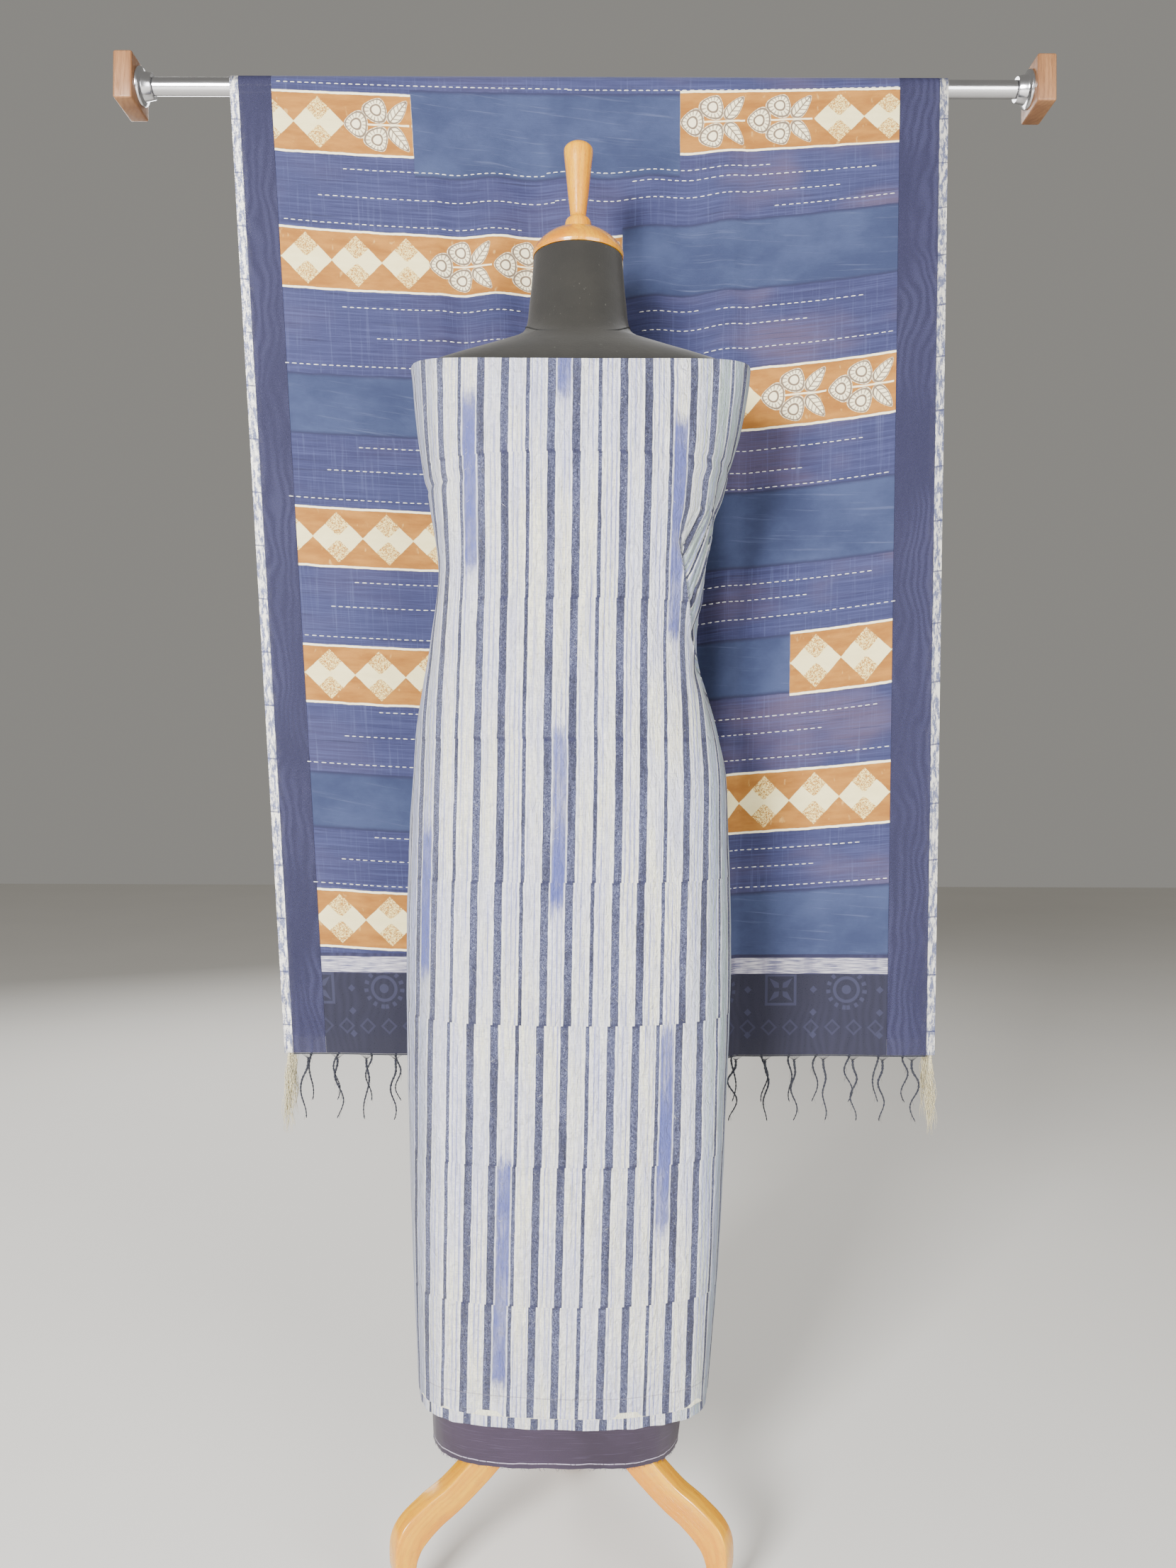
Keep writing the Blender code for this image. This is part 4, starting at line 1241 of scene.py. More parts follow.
    @staticmethod
    def tube(path: Sequence[Vector], radii: Sequence[float], sides: int) -> tuple[list, list]:
        """Sweep a round section along a path, closed at both ends.

        Args:
            path: The section's centres.
            radii: Its radius at each.
            sides: Its sides.

        Returns:
            Points and faces.
        """
        points, faces = [], []
        last = len(path) - 1
        side = Vector((1, 0, 0))
        for index, (centre, radius) in enumerate(zip(path, radii)):
            forward = (path[min(index + 1, last)] - path[max(index - 1, 0)]).normalized()
            if abs(forward.dot(side)) > 0.9:
                side = forward.orthogonal()
            side = (side - forward * forward.dot(side)).normalized()
            other = forward.cross(side)
            for step in range(sides):
                turn = math.tau * step / sides
                points.append(centre + (side * math.cos(turn) + other * math.sin(turn)) * radius)
        for index in range(last):
            for step in range(sides):
                low, high = index * sides, (index + 1) * sides
                after = (step + 1) % sides
                faces.append([low + step, low + after, high + after, high + step])
        faces.append(list(range(sides))[::-1])
        faces.append([last * sides + step for step in range(sides)])
        return points, faces


def settle(piece: Object, finish: Finish, nodes: Sequence[str] = ()) -> Object:
    """Dress a piece, let it ride on the part and hide what it stands for.

    Args:
        piece: The piece.
        finish: Its finish.
        nodes: The CAD nodes that it replaces.

    Returns:
        The piece.
    """
    piece.data.materials.clear()
    piece.data.materials.append(finish.material)
    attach(piece, "root")
    if nodes:
        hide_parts(*nodes)
    LOG.info("%s: %d faces, for %s", piece.name, len(piece.data.polygons), ", ".join(nodes) or "no node")
    return piece


def rounded(profile: Profile, steps: int = 4) -> list[tuple[float, float]]:
    """Put more points on a profile, on a smooth curve through its own.

    Args:
        profile: Radius against height.
        steps: Points for each one of it.

    Returns:
        The finer profile.
    """
    rows = [(float(index), radius, height) for index, (radius, height) in enumerate(profile)]
    fine = [read_table(rows, key) for key in spread(0, len(profile) - 1, (len(profile) - 1) * steps)]
    return [(max(radius, 0.0004), height) for radius, height in fine]


@dataclass
class Tube:
    """A body or a cloth round it, as oval sections stacked up an axis."""

    x: float
    y: float
    sections: Sequence[Sequence[float]]
    known: dict[float, list[float]] = field(default_factory=dict)

    def point(self, turn: float, height: float) -> Vector:
        """Find a point of the face.

        Args:
            turn: Share of a turn from the centre back, by the left side.
            height: Height above the floor.

        Returns:
            The point.
        """
        if height not in self.known:
            self.known[height] = read_table(self.sections, height)
        left, right, front, back, squareness = self.known[height]
        angle = math.radians(90 + 360 * turn)
        across, along = math.cos(angle), math.sin(angle)
        power = 2 / squareness
        x = math.copysign(abs(across) ** power, across) * (right if across > 0 else left)
        y = math.copysign(abs(along) ** power, along) * (back if along > 0 else front)
        return Vector((self.x + x, self.y + y, height))


def inset(face: Place, turn: float, height: float, depth: float) -> Vector:
    """Move a point of a face in along its normal.

    Args:
        face: The face.
        turn: Share of a turn from the centre back.
        height: Height above the floor.
        depth: How far in.

    Returns:
        The point.
    """
    along = face(turn + NORMAL_STEP, height) - face(turn - NORMAL_STEP, height)
    upward = face(turn, height + NORMAL_STEP) - face(turn, height - NORMAL_STEP)
    return face(turn, height) - along.cross(upward).normalized() * depth


@dataclass
class DressForm:
    """The limbless form: covered torso, wooden cap and handle, and the turned and sawn stand below."""

    x: float = -0.0065
    y: float = -0.048987
    stand_x: float = -0.0185
    sections: Sequence[Sequence[float]] = (
        (0.69, 0.13, 0.13, 0.083, 0.083, 2.3), (0.704, 0.142, 0.142, 0.091, 0.091, 2.3),
        (0.76, 0.156, 0.156, 0.099, 0.098, 2.3), (0.84, 0.158, 0.158, 0.102, 0.1, 2.3),
        (0.94, 0.148, 0.148, 0.094, 0.093, 2.3), (1.05, 0.127, 0.127, 0.079, 0.078, 2.2),
        (1.13, 0.133, 0.133, 0.083, 0.08, 2.2), (1.215, 0.158, 0.158, 0.102, 0.089, 2.3),
        (1.285, 0.18, 0.18, 0.1095, 0.0935, 2.5), (1.342, 0.186, 0.186, 0.0965, 0.083, 2.5),
        (1.362, 0.179, 0.179, 0.085, 0.077, 2.3), (1.377, 0.137, 0.137, 0.074, 0.07, 2.2),
        (1.39, 0.09, 0.09, 0.063, 0.064, 2.1), (1.404, 0.064, 0.064, 0.059, 0.06, 2.0),
        (1.44, 0.056, 0.056, 0.055, 0.056, 2.0), (1.494, 0.051, 0.051, 0.051, 0.051, 2.0),
    )
    cap_profile: Profile = (
        (0.052, 1.4945), (0.0528, 1.4985), (0.051, 1.503), (0.044, 1.512), (0.0316, 1.5212),
        (0.0152, 1.5262), (0.006, 1.5266),
    )
    handle_profile: Profile = (
        (0.0152, 1.5269), (0.0153, 1.533), (0.014, 1.5385), (0.01, 1.5425), (0.0092, 1.545), (0.0122, 1.571),
        (0.0148, 1.597), (0.0168, 1.616), (0.0158, 1.6225), (0.01, 1.627), (0.004, 1.6278),
    )
    hub_profile: Profile = (
        (0.02, 0.14), (0.03, 0.1425), (0.034, 0.146), (0.034, 0.193), (0.0325, 0.198), (0.027, 0.206),
    )
    pole: tuple[float, float, float] = (0.015, 0.2063, 0.6897)
    leg_thickness: float = 0.022
    leg_stations: Sequence[tuple[float, float, float]] = (
        (0.0343, 0.165, 0.036), (0.062, 0.162, 0.036), (0.086, 0.15, 0.035), (0.11, 0.132, 0.034),
        (0.14, 0.112, 0.033), (0.166, 0.099, 0.034), (0.188, 0.082, 0.035), (0.1955, 0.058, 0.025),
        (0.194, 0.034, 0.02), (0.198, 0.013, 0.028), (0.198, 0.0, 0.034),
    )
    legs: Sequence[tuple[str, float]] = (("leg_front_left", 210.0), ("leg_front_right", 330.0),
                                         ("leg_back", 90.0))
    wood: Varnished = Varnished(Slot.WOOD, roughness=0.24, coat=0.6)
    leg_wood: Varnished = Varnished(Slot.WOOD, roughness=0.26, coat=0.5, mapped=True)
    cover: Jersey = Jersey(Slot.COVER, roughness=0.92, sheen=0.15)

    def build(self) -> None:
        """Build the whole form."""
        self.build_body()
        self.build_neck_seam()
        upright = Matrix.Translation((self.x, self.y, 0))
        for name, profile in (("neck_cap", self.cap_profile), ("finial", self.handle_profile)):
            settle(Bench.turned(f"{name}_wood", rounded(profile), 64, upright), self.wood, [name])
        below = Matrix.Translation((self.stand_x, self.y, 0))
        settle(Bench.turned("hub_wood", rounded(self.hub_profile), 48, below), self.wood, ["stand_hub"])
        radius, foot, top = self.pole
        pole = ((radius - 0.001, foot), (radius, foot + 0.001), (radius, top - 0.001), (radius - 0.001, top))
        settle(Bench.turned("pole_wood", pole, 32, below), self.wood, ["stand_pole"])
        for name, azimuth in self.legs:
            self.build_leg(name, azimuth)

    def build_body(self) -> None:
        """Build the covered torso and neck, closed at both ends."""
        body = Tube(self.x, self.y, self.sections)
        heights = spread(self.sections[0][0], self.sections[-1][0], 120)
        Bench.clear()
        bpy.ops.mesh.primitive_cylinder_add(vertices=96, radius=1, depth=2, end_fill_type="NGON")
        piece = Bench.named("form_cover_jersey")
        bpy.ops.object.mode_set(mode="EDIT")
        bpy.ops.mesh.select_mode(type="EDGE")
        bpy.ops.mesh.select_all(action="DESELECT")
        bpy.ops.object.mode_set(mode="OBJECT")
        for edge in piece.data.edges:
            low, high = (piece.data.vertices[index].co for index in edge.vertices)
            edge.select = low.z * high.z < 0
        bpy.ops.object.mode_set(mode="EDIT")
        bpy.ops.mesh.subdivide(number_cuts=len(heights) - 2)
        bpy.ops.object.mode_set(mode="OBJECT")
        for vertex in piece.data.vertices:
            turn = (math.atan2(vertex.co.y, vertex.co.x) / (math.tau) - 0.25) % 1
            level = round((vertex.co.z + 1) / 2 * (len(heights) - 1))
            vertex.co = body.point(turn, heights[level])
        Bench.smooth(piece, 50)
        settle(piece, self.cover, ["form_body"])

    def build_neck_seam(self) -> None:
        """Build the thin raised seam round the foot of the neck, lower in front."""
        body = Tube(self.x, self.y, self.sections)
        path = []
        for turn in spread(0, 1, 96):
            height = 1.413 - 0.025 * max(-math.cos(math.tau * turn), 0) ** 1.5
            path.append(body.point(turn, height))
        seam = Bench.assembled("neck_seam", [Bench.tube(path, [0.001] * len(path), 6)])
        settle(seam, Thread(Slot.COVER, roughness=0.9, base=(26, 26, 25), fibre=(52, 52, 50)))

    def build_leg(self, name: str, azimuth: float) -> None:
        """Build one sawn cabriole leg with eased edges.

        Args:
            name: The leg's node.
            azimuth: The way that it stands out, in degrees.
        """
        rows = [(float(index), *station) for index, station in enumerate(self.leg_stations)]
        last = len(rows) - 1
        outward = Vector((math.cos(math.radians(azimuth)), math.sin(math.radians(azimuth)), 0))
        aside = Vector((-outward.y, outward.x, 0))
        foot = Vector((self.stand_x, self.y, 0))
        half = self.leg_thickness / 2
        ease = 0.0022
        points, lengths, travelled = [], [], 0
        keys = spread(0, last, 60)
        centres = [Vector(read_table(rows, key)[:2]) for key in keys]
        for index, key in enumerate(keys):
            width = read_table(rows, key)[2] / 2
            before, after = centres[max(index - 1, 0)], centres[min(index + 1, len(keys) - 1)]
            forward = (after - before).normalized()
            forward = {0: Vector((1, 0)), len(keys) - 1: Vector((0, -1))}.get(index, forward)
            across = Vector((-forward.y, forward.x))
            travelled += (centres[index] - centres[max(index - 1, 0)]).length
            for corner_x, corner_y, start in ((1, 1, 0), (-1, 1, 90), (-1, -1, 180), (1, -1, 270)):
                for degrees in (0, 30, 60, 90):
                    turn = math.radians(start + degrees)
                    reach = corner_x * (width - ease) + ease * math.cos(turn)
                    out = corner_y * (half - ease) + ease * math.sin(turn)
                    plane = centres[index] + across * reach
                    points.append(foot + outward * plane.x + Vector((0, 0, max(plane.y, 0))) + aside * out)
                    lengths.append((travelled, reach + out * 0.7))
        sides = 16
        faces = [[ring * sides + step, ring * sides + (step + 1) % sides,
                  (ring + 1) * sides + (step + 1) % sides, (ring + 1) * sides + step]
                 for ring in range(len(keys) - 1) for step in range(sides)]
        faces += [list(range(sides))[::-1], [(len(keys) - 1) * sides + step for step in range(sides)]]
        leg = Bench.assembled(f"{name}_wood", [(points, faces)])
        layer = leg.data.uv_layers.new(name=CLOTH_UV)
        values = [value for loop in leg.data.loops for value in lengths[loop.vertex_index]]
        layer.data.foreach_set("uv", values)
        Bench.clear()
        leg.select_set(True)
        bpy.context.view_layer.objects.active = leg
        bpy.ops.object.mode_set(mode="EDIT")
        bpy.ops.mesh.select_all(action="SELECT")
        bpy.ops.mesh.normals_make_consistent(inside=False)
        bpy.ops.object.mode_set(mode="OBJECT")
        Bench.smooth(leg, 40)
        settle(leg, self.leg_wood, [name])


@dataclass
class Kameez:
    """The kameez cloth, folded at its top edge and wrapped round the form, lapped at the centre back."""

    form: DressForm
    sections: Sequence[Sequence[float]] = (
        (0.203, 0.179, 0.155, 0.088, 0.09, 2.7), (0.35, 0.186, 0.1665, 0.0975, 0.0985, 2.7),
        (0.53, 0.1907, 0.1745, 0.106, 0.106, 2.7), (0.7, 0.193, 0.1785, 0.112, 0.112, 2.6),
        (0.84, 0.19, 0.1745, 0.113, 0.111, 2.6), (0.9, 0.1865, 0.172, 0.111, 0.108, 2.6),
        (0.945, 0.184, 0.164, 0.108, 0.104, 2.5), (0.985, 0.179, 0.153, 0.103, 0.1, 2.5),
        (1.02, 0.173, 0.1435, 0.0985, 0.095, 2.5), (1.055, 0.1675, 0.14, 0.0955, 0.092, 2.5),
        (1.09, 0.1625, 0.144, 0.0945, 0.091, 2.5), (1.13, 0.159, 0.149, 0.096, 0.091, 2.5),
        (1.175, 0.1645, 0.158, 0.103, 0.093, 2.5), (1.215, 0.1715, 0.168, 0.1095, 0.096, 2.5),
        (1.25, 0.178, 0.1765, 0.114, 0.0975, 2.5), (1.285, 0.1836, 0.187, 0.113, 0.097, 2.5),
        (1.32, 0.188, 0.196, 0.108, 0.092, 2.5), (1.345, 0.1915, 0.199, 0.1015, 0.087, 2.5),
    )
    pulls: Sequence[tuple[float, ...]] = (
        (88.0, 1.15, 60.0, 1.262, 0.0032, 0.01), (92.0, 1.12, 66.0, 1.19, 0.0034, 0.009),
        (90.0, 1.085, 56.0, 1.045, 0.0036, 0.01), (88.0, 1.065, 58.0, 0.985, 0.004, 0.011),
        (86.0, 1.05, 66.0, 0.925, 0.004, 0.012), (92.0, 1.04, 78.0, 0.88, 0.0036, 0.012),
    )
    top: float = 1.345
    foot: float = 0.203
    inner_drop: float = 0.013
    lip: float = 0.006
    side_rise: float = 0.016
    side_rise_fade: float = 0.075
    lap: float = 0.1041
    lap_lift: float = 0.005
    lap_ramp: float = 0.1
    unrolled_radius: float = 0.15
    cotton: StripedCotton = StripedCotton(Slot.KAMEEZ, roughness=0.86, sheen=0.12)

    def __post_init__(self) -> None:
        """Stand the cloth round the form's axis."""
        self.tube = Tube(self.form.x, self.form.y, self.sections)

    def build(self) -> None:
        """Build both layers."""
        columns = spread(0, 0.58, 124) + spread(0.58, 0.78, 100)[1:] + spread(0.78, 1 + self.lap, 76)[1:]
        heights = spread(self.foot, 1, 72) + spread(1, 1.2, 50)[1:] + spread(1.2, self.top, 28)[1:]
        outer_rows = heights + [self.top + step / 1000 for step in range(1, 6)]
        outer = self.layer("kameez_outer_cloth", columns, outer_rows, self.outer_point)
        settle(outer, self.cotton, ["kameez_outer_layer"])
        inner_rows = [self.foot - self.inner_drop, self.foot - self.inner_drop / 2] + heights[::3]
        inner_rows[-1] = self.top - self.lip - SEAM_GAP
        inner = self.layer("kameez_inner_cloth", columns[::2], inner_rows, self.inner_point, 0.0115)
        settle(inner, self.cotton, ["kameez_inner_layer"])

    def layer(self, name: str, columns: Sequence[float], rows: Sequence[float], place: Place,
              shift: float = 0.0) -> Object:
        """Shape one layer, mapped in metres from its centre front.

        Args:
            name: The piece's name.
            columns: Turns from the centre back.
            rows: Heights, and over the fold.
            place: Gives the layer's outer face.
            shift: Metres from the outer layer's print to this layer's.

        Returns:
            The piece.
        """
        distances = {}
        for row, height in enumerate(rows):
            points = [self.tube.point(turn, min(height, self.top)) for turn in columns]
            runs = [0]
            for before, after in zip(points, points[1:]):
                runs.append(runs[-1] + (after - before).length)
            middle = min(range(len(columns)), key=lambda index: abs(columns[index] - 0.5))
            front = runs[middle] + (0.5 - columns[middle]) * runs[-1] / columns[-1]
            distances[row] = [run - front for run in runs]

        def mapped(column: int, row: int) -> tuple[float, float]:
            """Metres across from the centre front, and height along the cloth."""
            height = min(rows[row], self.top + 0.004)
            across = distances[row][column] + self.shear(columns[column], height) + shift
            return across, height

        return Bench.cloth(name, columns, rows, place, mapped)

    def angle(self, turn: float) -> float:
        """Degrees from straight ahead towards the right side."""
        return 360 * (turn - 0.5)

    def rope_edge(self, height: float) -> float:
        """Degrees from the front of the fold that the gathered cloth at the right of the waist lies under."""
        return 44 + 24 * max(1.152 - height, 0) / 0.11

    def gathered(self, turn: float, height: float) -> float:
        """Share of the gathered cloth at a place: its edge is soft above the waist and sharp beside it."""
        soft = 1.2 + 6 * smoothstep(height, 1.125, 1.175)
        edge = self.rope_edge(height)
        return smoothstep(self.angle(turn), edge - soft, edge + soft) * (1
                                                                         - smoothstep(self.angle(turn), 74,
                                                                                      180))

    def shear(self, turn: float, height: float) -> float:
        """How far the cloth is pulled round at the right of the waist, which slants its stripes."""
        pulled = 0.006 * (1 - smoothstep(height, 1.219, 1.24))
        pulled += 0.58 * max(min(1.19 - height, 0.11), 0) + 0.35 * max(min(1.08 - height, 0.04), 0)
        return self.gathered(turn, height) * pulled * smoothstep(height, 0.93, 1.045)

    def pull_depth(self, turn: float, height: float) -> float:
        """How far the pull folds at the right of the waist draw the cloth in."""
        here = Vector((math.radians(self.angle(turn)) * self.unrolled_radius, height))
        depth = 0
        for top_angle, top_height, foot_angle, foot_height, most, half_width in self.pulls:
            start = Vector((math.radians(top_angle) * self.unrolled_radius, top_height))
            line = Vector((math.radians(foot_angle) * self.unrolled_radius, foot_height)) - start
            along = (here - start).dot(line) / line.length_squared
            aside = (here - start - line * along).length / half_width
            strength = smoothstep(along, -0.2, 0.25) * (1 - smoothstep(along, 0.45, 1))
            depth = max(depth, most * strength * math.exp(-aside * aside))
        return depth

    def relief(self, turn: float, height: float) -> float:
        """Small folds and crinkles of the cloth, outwards.

        Args:
            turn: Turns from the centre back.
            height: Height above the floor.

        Returns:
            Metres outwards.
        """
        angle = self.angle(turn)
        run = math.radians(angle) * self.unrolled_radius
        skirt = 1 - smoothstep(height, 0.55, 0.95)
        hang = 0.0011 * skirt * math.sin(run * 46 + 1.2 * math.sin(height * 5))
        crease = math.exp(-((height - 1.233 - 0.012 * math.sin(run * 9)) / 0.0042) ** 2)
        shelf = -0.002 * crease * smoothstep(abs(angle), 30, 50)
        shelf -= 0.0035 * math.exp(-((height - 1.192) / 0.015) ** 2) * smoothstep(angle, 60, 85)
        beyond = run - math.radians(self.rope_edge(height)) * self.unrolled_radius
        fold_level = smoothstep(height, 0.99, 1.06) * (1 - smoothstep(height, 1.13, 1.165))
        fold = -0.005 * math.exp(-(beyond / 0.0045) ** 2) * (beyond > 0) * fold_level
        fold += 0.0016 * math.exp(-((beyond + 0.004) / 0.005) ** 2) * fold_level
        level = smoothstep(height, 0.97, 1.05) * (1 - smoothstep(height, 1.15, 1.22))
        strand = 1 - abs(math.sin((run - height * 0.52) * math.pi / 0.0135 + 1.5 * math.sin(height * 24)))
        rope = fold - 0.0042 * strand ** 3 * level * self.gathered(turn, height)
        crinkle = 0.0005 * noise.noise(Vector((run * 38, height * 21, 2)))
        crinkle += 0.00035 * noise.noise(Vector((run * 95, height * 40, 7)))
        return hang + shelf + rope + crinkle - 0.0006

    def face(self, turn: float, height: float) -> Vector:
        """The outer layer's outer face."""
        point = self.tube.point(turn, min(height, self.top))
        outward = (point - Vector((self.form.x, self.form.y, point.z))).normalized()
        lift = self.lap_lift * smoothstep(turn, 1 - self.lap_ramp, 1)
        point += outward * (lift - self.pull_depth(turn, height) + self.relief(turn, height))
        sideways = math.sin(math.tau * turn) ** 2
        point.z = height + self.side_rise * sideways * smoothstep(height, self.top - self.side_rise_fade,
                                                                  self.top)
        return point

    def outer_point(self, turn: float, height: float) -> Vector:
        """The outer layer's face, then over the fold at the top and down inside.

        Args:
            turn: Turns from the centre back.
            height: Height, and above the top a thousandth for each step over the fold.

        Returns:
            The point.
        """
        if height <= self.top:
            point = self.face(turn, height)
            ragged = 1 - smoothstep(height, self.foot, self.foot + 0.02)
            point.z += ragged * 0.0015 * noise.noise(Vector((turn * 60, 3, 0)))
            return point
        step = round((height - self.top) * 1000)
        radius = WALL + SEAM_GAP / 2
        if step == 5:
            return inset(self.face, turn, self.top - self.lip, 2 * radius)
        angle = math.pi * step / 4
        point = inset(self.face, turn, self.top, radius * (1 - math.cos(angle)))
        point.z += radius * math.sin(angle)
        return point

    def inner_point(self, turn: float, height: float) -> Vector:
        """The inner layer's outer face."""
        point = inset(self.face, turn, height, LAYER + SEAM_GAP)
        ragged = 1 - smoothstep(height, self.foot - self.inner_drop, self.foot)
        point.z += ragged * 0.0022 * noise.noise(Vector((turn * 48, 9, 0)))
        return point


@dataclass
class Salwar:
    """The plain salwar cloth that hangs from the waist inside the kameez, its edges meeting at the back."""

    form: DressForm
    sections: Sequence[Sequence[float]] = (
        (0.146, 0.1615, 0.1205, 0.084, 0.082, 2.9), (0.2, 0.165, 0.127, 0.0845, 0.084, 2.7),
        (0.35, 0.173, 0.143, 0.091, 0.09, 2.6), (0.53, 0.182, 0.162, 0.1, 0.099, 2.5),
        (0.7, 0.1855, 0.1705, 0.106, 0.105, 2.5), (0.84, 0.179, 0.166, 0.107, 0.104, 2.5),
        (0.94, 0.162, 0.156, 0.0995, 0.097, 2.4), (1.05, 0.1285, 0.1285, 0.0805, 0.0795, 2.2),
    )
    parting: tuple[float, float] = (0.015, 0.005)
    edge: float = 0.0006
    foot: float = 0.146
    cotton: PlainCotton = PlainCotton(Slot.SALWAR, roughness=0.88, sheen=0.2)

    def build(self) -> None:
        """Build the cloth and the frayed threads at its raw hem."""
        tube = Tube(self.form.x, self.form.y, self.sections)
        columns = spread(0, 1, 180)
        rows = spread(self.foot, self.sections[-1][0], 100)

        def place(turn: float, height: float) -> Vector:
            """The cloth's outer face, with its edges parted over the back leg."""
            parted = 1 - smoothstep(height, 0.2, 0.3)
            start = self.edge + self.parting[0] * parted
            end = 1 - self.edge - self.parting[1] * parted
            point = tube.point(start + (end - start) * turn, height)
            outward = (point - Vector((tube.x, tube.y, height))).normalized()
            loose = 1 - smoothstep(height, 0.25, 0.5)
            wave = 0.0011 * math.sin(turn * 31 + height * 14) + 0.0007 * noise.noise(
                Vector((turn * 40, height * 18, 4)))
            point += outward * (wave * (0.35 + 0.65 * loose) - 0.0006)
            rag = 1 - smoothstep(height, self.foot, self.foot + 0.012)
            point.z += rag * 0.0016 * noise.noise(Vector((turn * 70, 1, 0)))
            return point

        widths = [0]
        for before, after in zip(columns, columns[1:]):
            widths.append(widths[-1] + (place(after, 0.35) - place(before, 0.35)).length)

        def mapped(column: int, row: int) -> tuple[float, float]:
            """Metres across from the left edge, and height along the cloth."""
            return widths[column], rows[row]

        cloth = Bench.cloth("salwar_plain_cloth", columns, rows, place, mapped)
        settle(cloth, self.cotton, ["salwar_cloth"])
        fray = self.build_fray(place)

    def build_fray(self, place: Place) -> Object:
        """Build short loose threads along the raw hem.

        Args:
            place: The cloth's outer face.

        Returns:
            The piece.
        """
        chance = random.Random(7)
        threads = []
        for _ in range(420):
            turn = chance.uniform(0.002, 0.998)
            root = place(turn, self.foot + 0.0006)
            lean = (place(min(turn + 0.01, 1), self.foot) - root).normalized() * chance.uniform(-0.0028,
                                                                                                0.0028)
            length = chance.uniform(0.001, 0.0042)
            path = [root, root + lean * 0.4 + Vector((0, 0, -length * 0.6)),
                    root + lean + Vector((0, 0, -length))]
            threads.append(Bench.tube(path, (0.00018, 0.00014, 0.00006), 3))
        fray = Bench.assembled("salwar_hem_fray", threads)
        return settle(fray, Thread(Slot.SALWAR, roughness=0.9, base=(58, 50, 76), fibre=(120, 110, 138)))


@dataclass
class Rail:
    """The plated rod that the dupatta hangs over, its cup flanges and its end blocks."""

    y: float = 0.106013
    z: float = 1.78
    rod_radius: float = 0.011
    inner_face: float = 0.572
    block: tuple[float, float, float] = (0.024, 0.06, 0.06)
    flange_profile: Profile = (
        (0.004, 0.017), (0.015, 0.017), (0.0158, 0.0162), (0.0175, 0.007), (0.0182, 0.0055), (0.0232, 0.0036),
        (0.0236, 0.003), (0.0236, 0.0000), (0.004, 0.0000),
    )
    plating: Chrome = Chrome(Slot.CHROME, roughness=0.12, metallic=1.0)
    walnut: Varnished = Varnished(Slot.WALNUT, roughness=0.45, coat=0.1, light=(156, 112, 74),
                                  deep=(118, 78, 48), pore=(70, 44, 26))

    def build(self) -> None:
        """Build the rod, flanges and blocks."""
        half = self.inner_face - 0.017 - 2 * SEAM_GAP
        ease = 0.0004
        profile = ((self.rod_radius - ease, -half), (self.rod_radius, ease - half),
                   (self.rod_radius, half - ease), (self.rod_radius - ease, half))
        along = Matrix.Translation((0, self.y, self.z)) @ Matrix.Rotation(math.pi / 2, 4, "Y")
        settle(Bench.turned("rail_rod_plated", profile, 48, along), self.plating, ["rail_rod"])
        for side, name in ((-1, "left"), (1, "right")):
            seat = Matrix.Translation((side * (self.inner_face - SEAM_GAP), self.y, self.z))
            seat = seat @ Matrix.Rotation(-side * math.pi / 2, 4, "Y")
            flange = Bench.turned(f"rail_cup_{name}", self.flange_profile, 48, seat)
            settle(flange, self.plating, [f"rail_flange_{name}"])
            Bench.clear()
            bpy.ops.mesh.primitive_cube_add(size=1)
            block = Bench.named(f"rail_block_{name}_eased")
            middle = Vector((side * (self.inner_face + self.block[0] / 2), self.y, self.z))
            for vertex in block.data.vertices:
                vertex.co = middle + Vector(size * share for size, share in zip(self.block, vertex.co))
            Bench.apply(block, "BEVEL", width=0.0025, segments=3)
            Bench.smooth(block, 40)
            settle(block, self.walnut, [f"rail_block_{name}"])


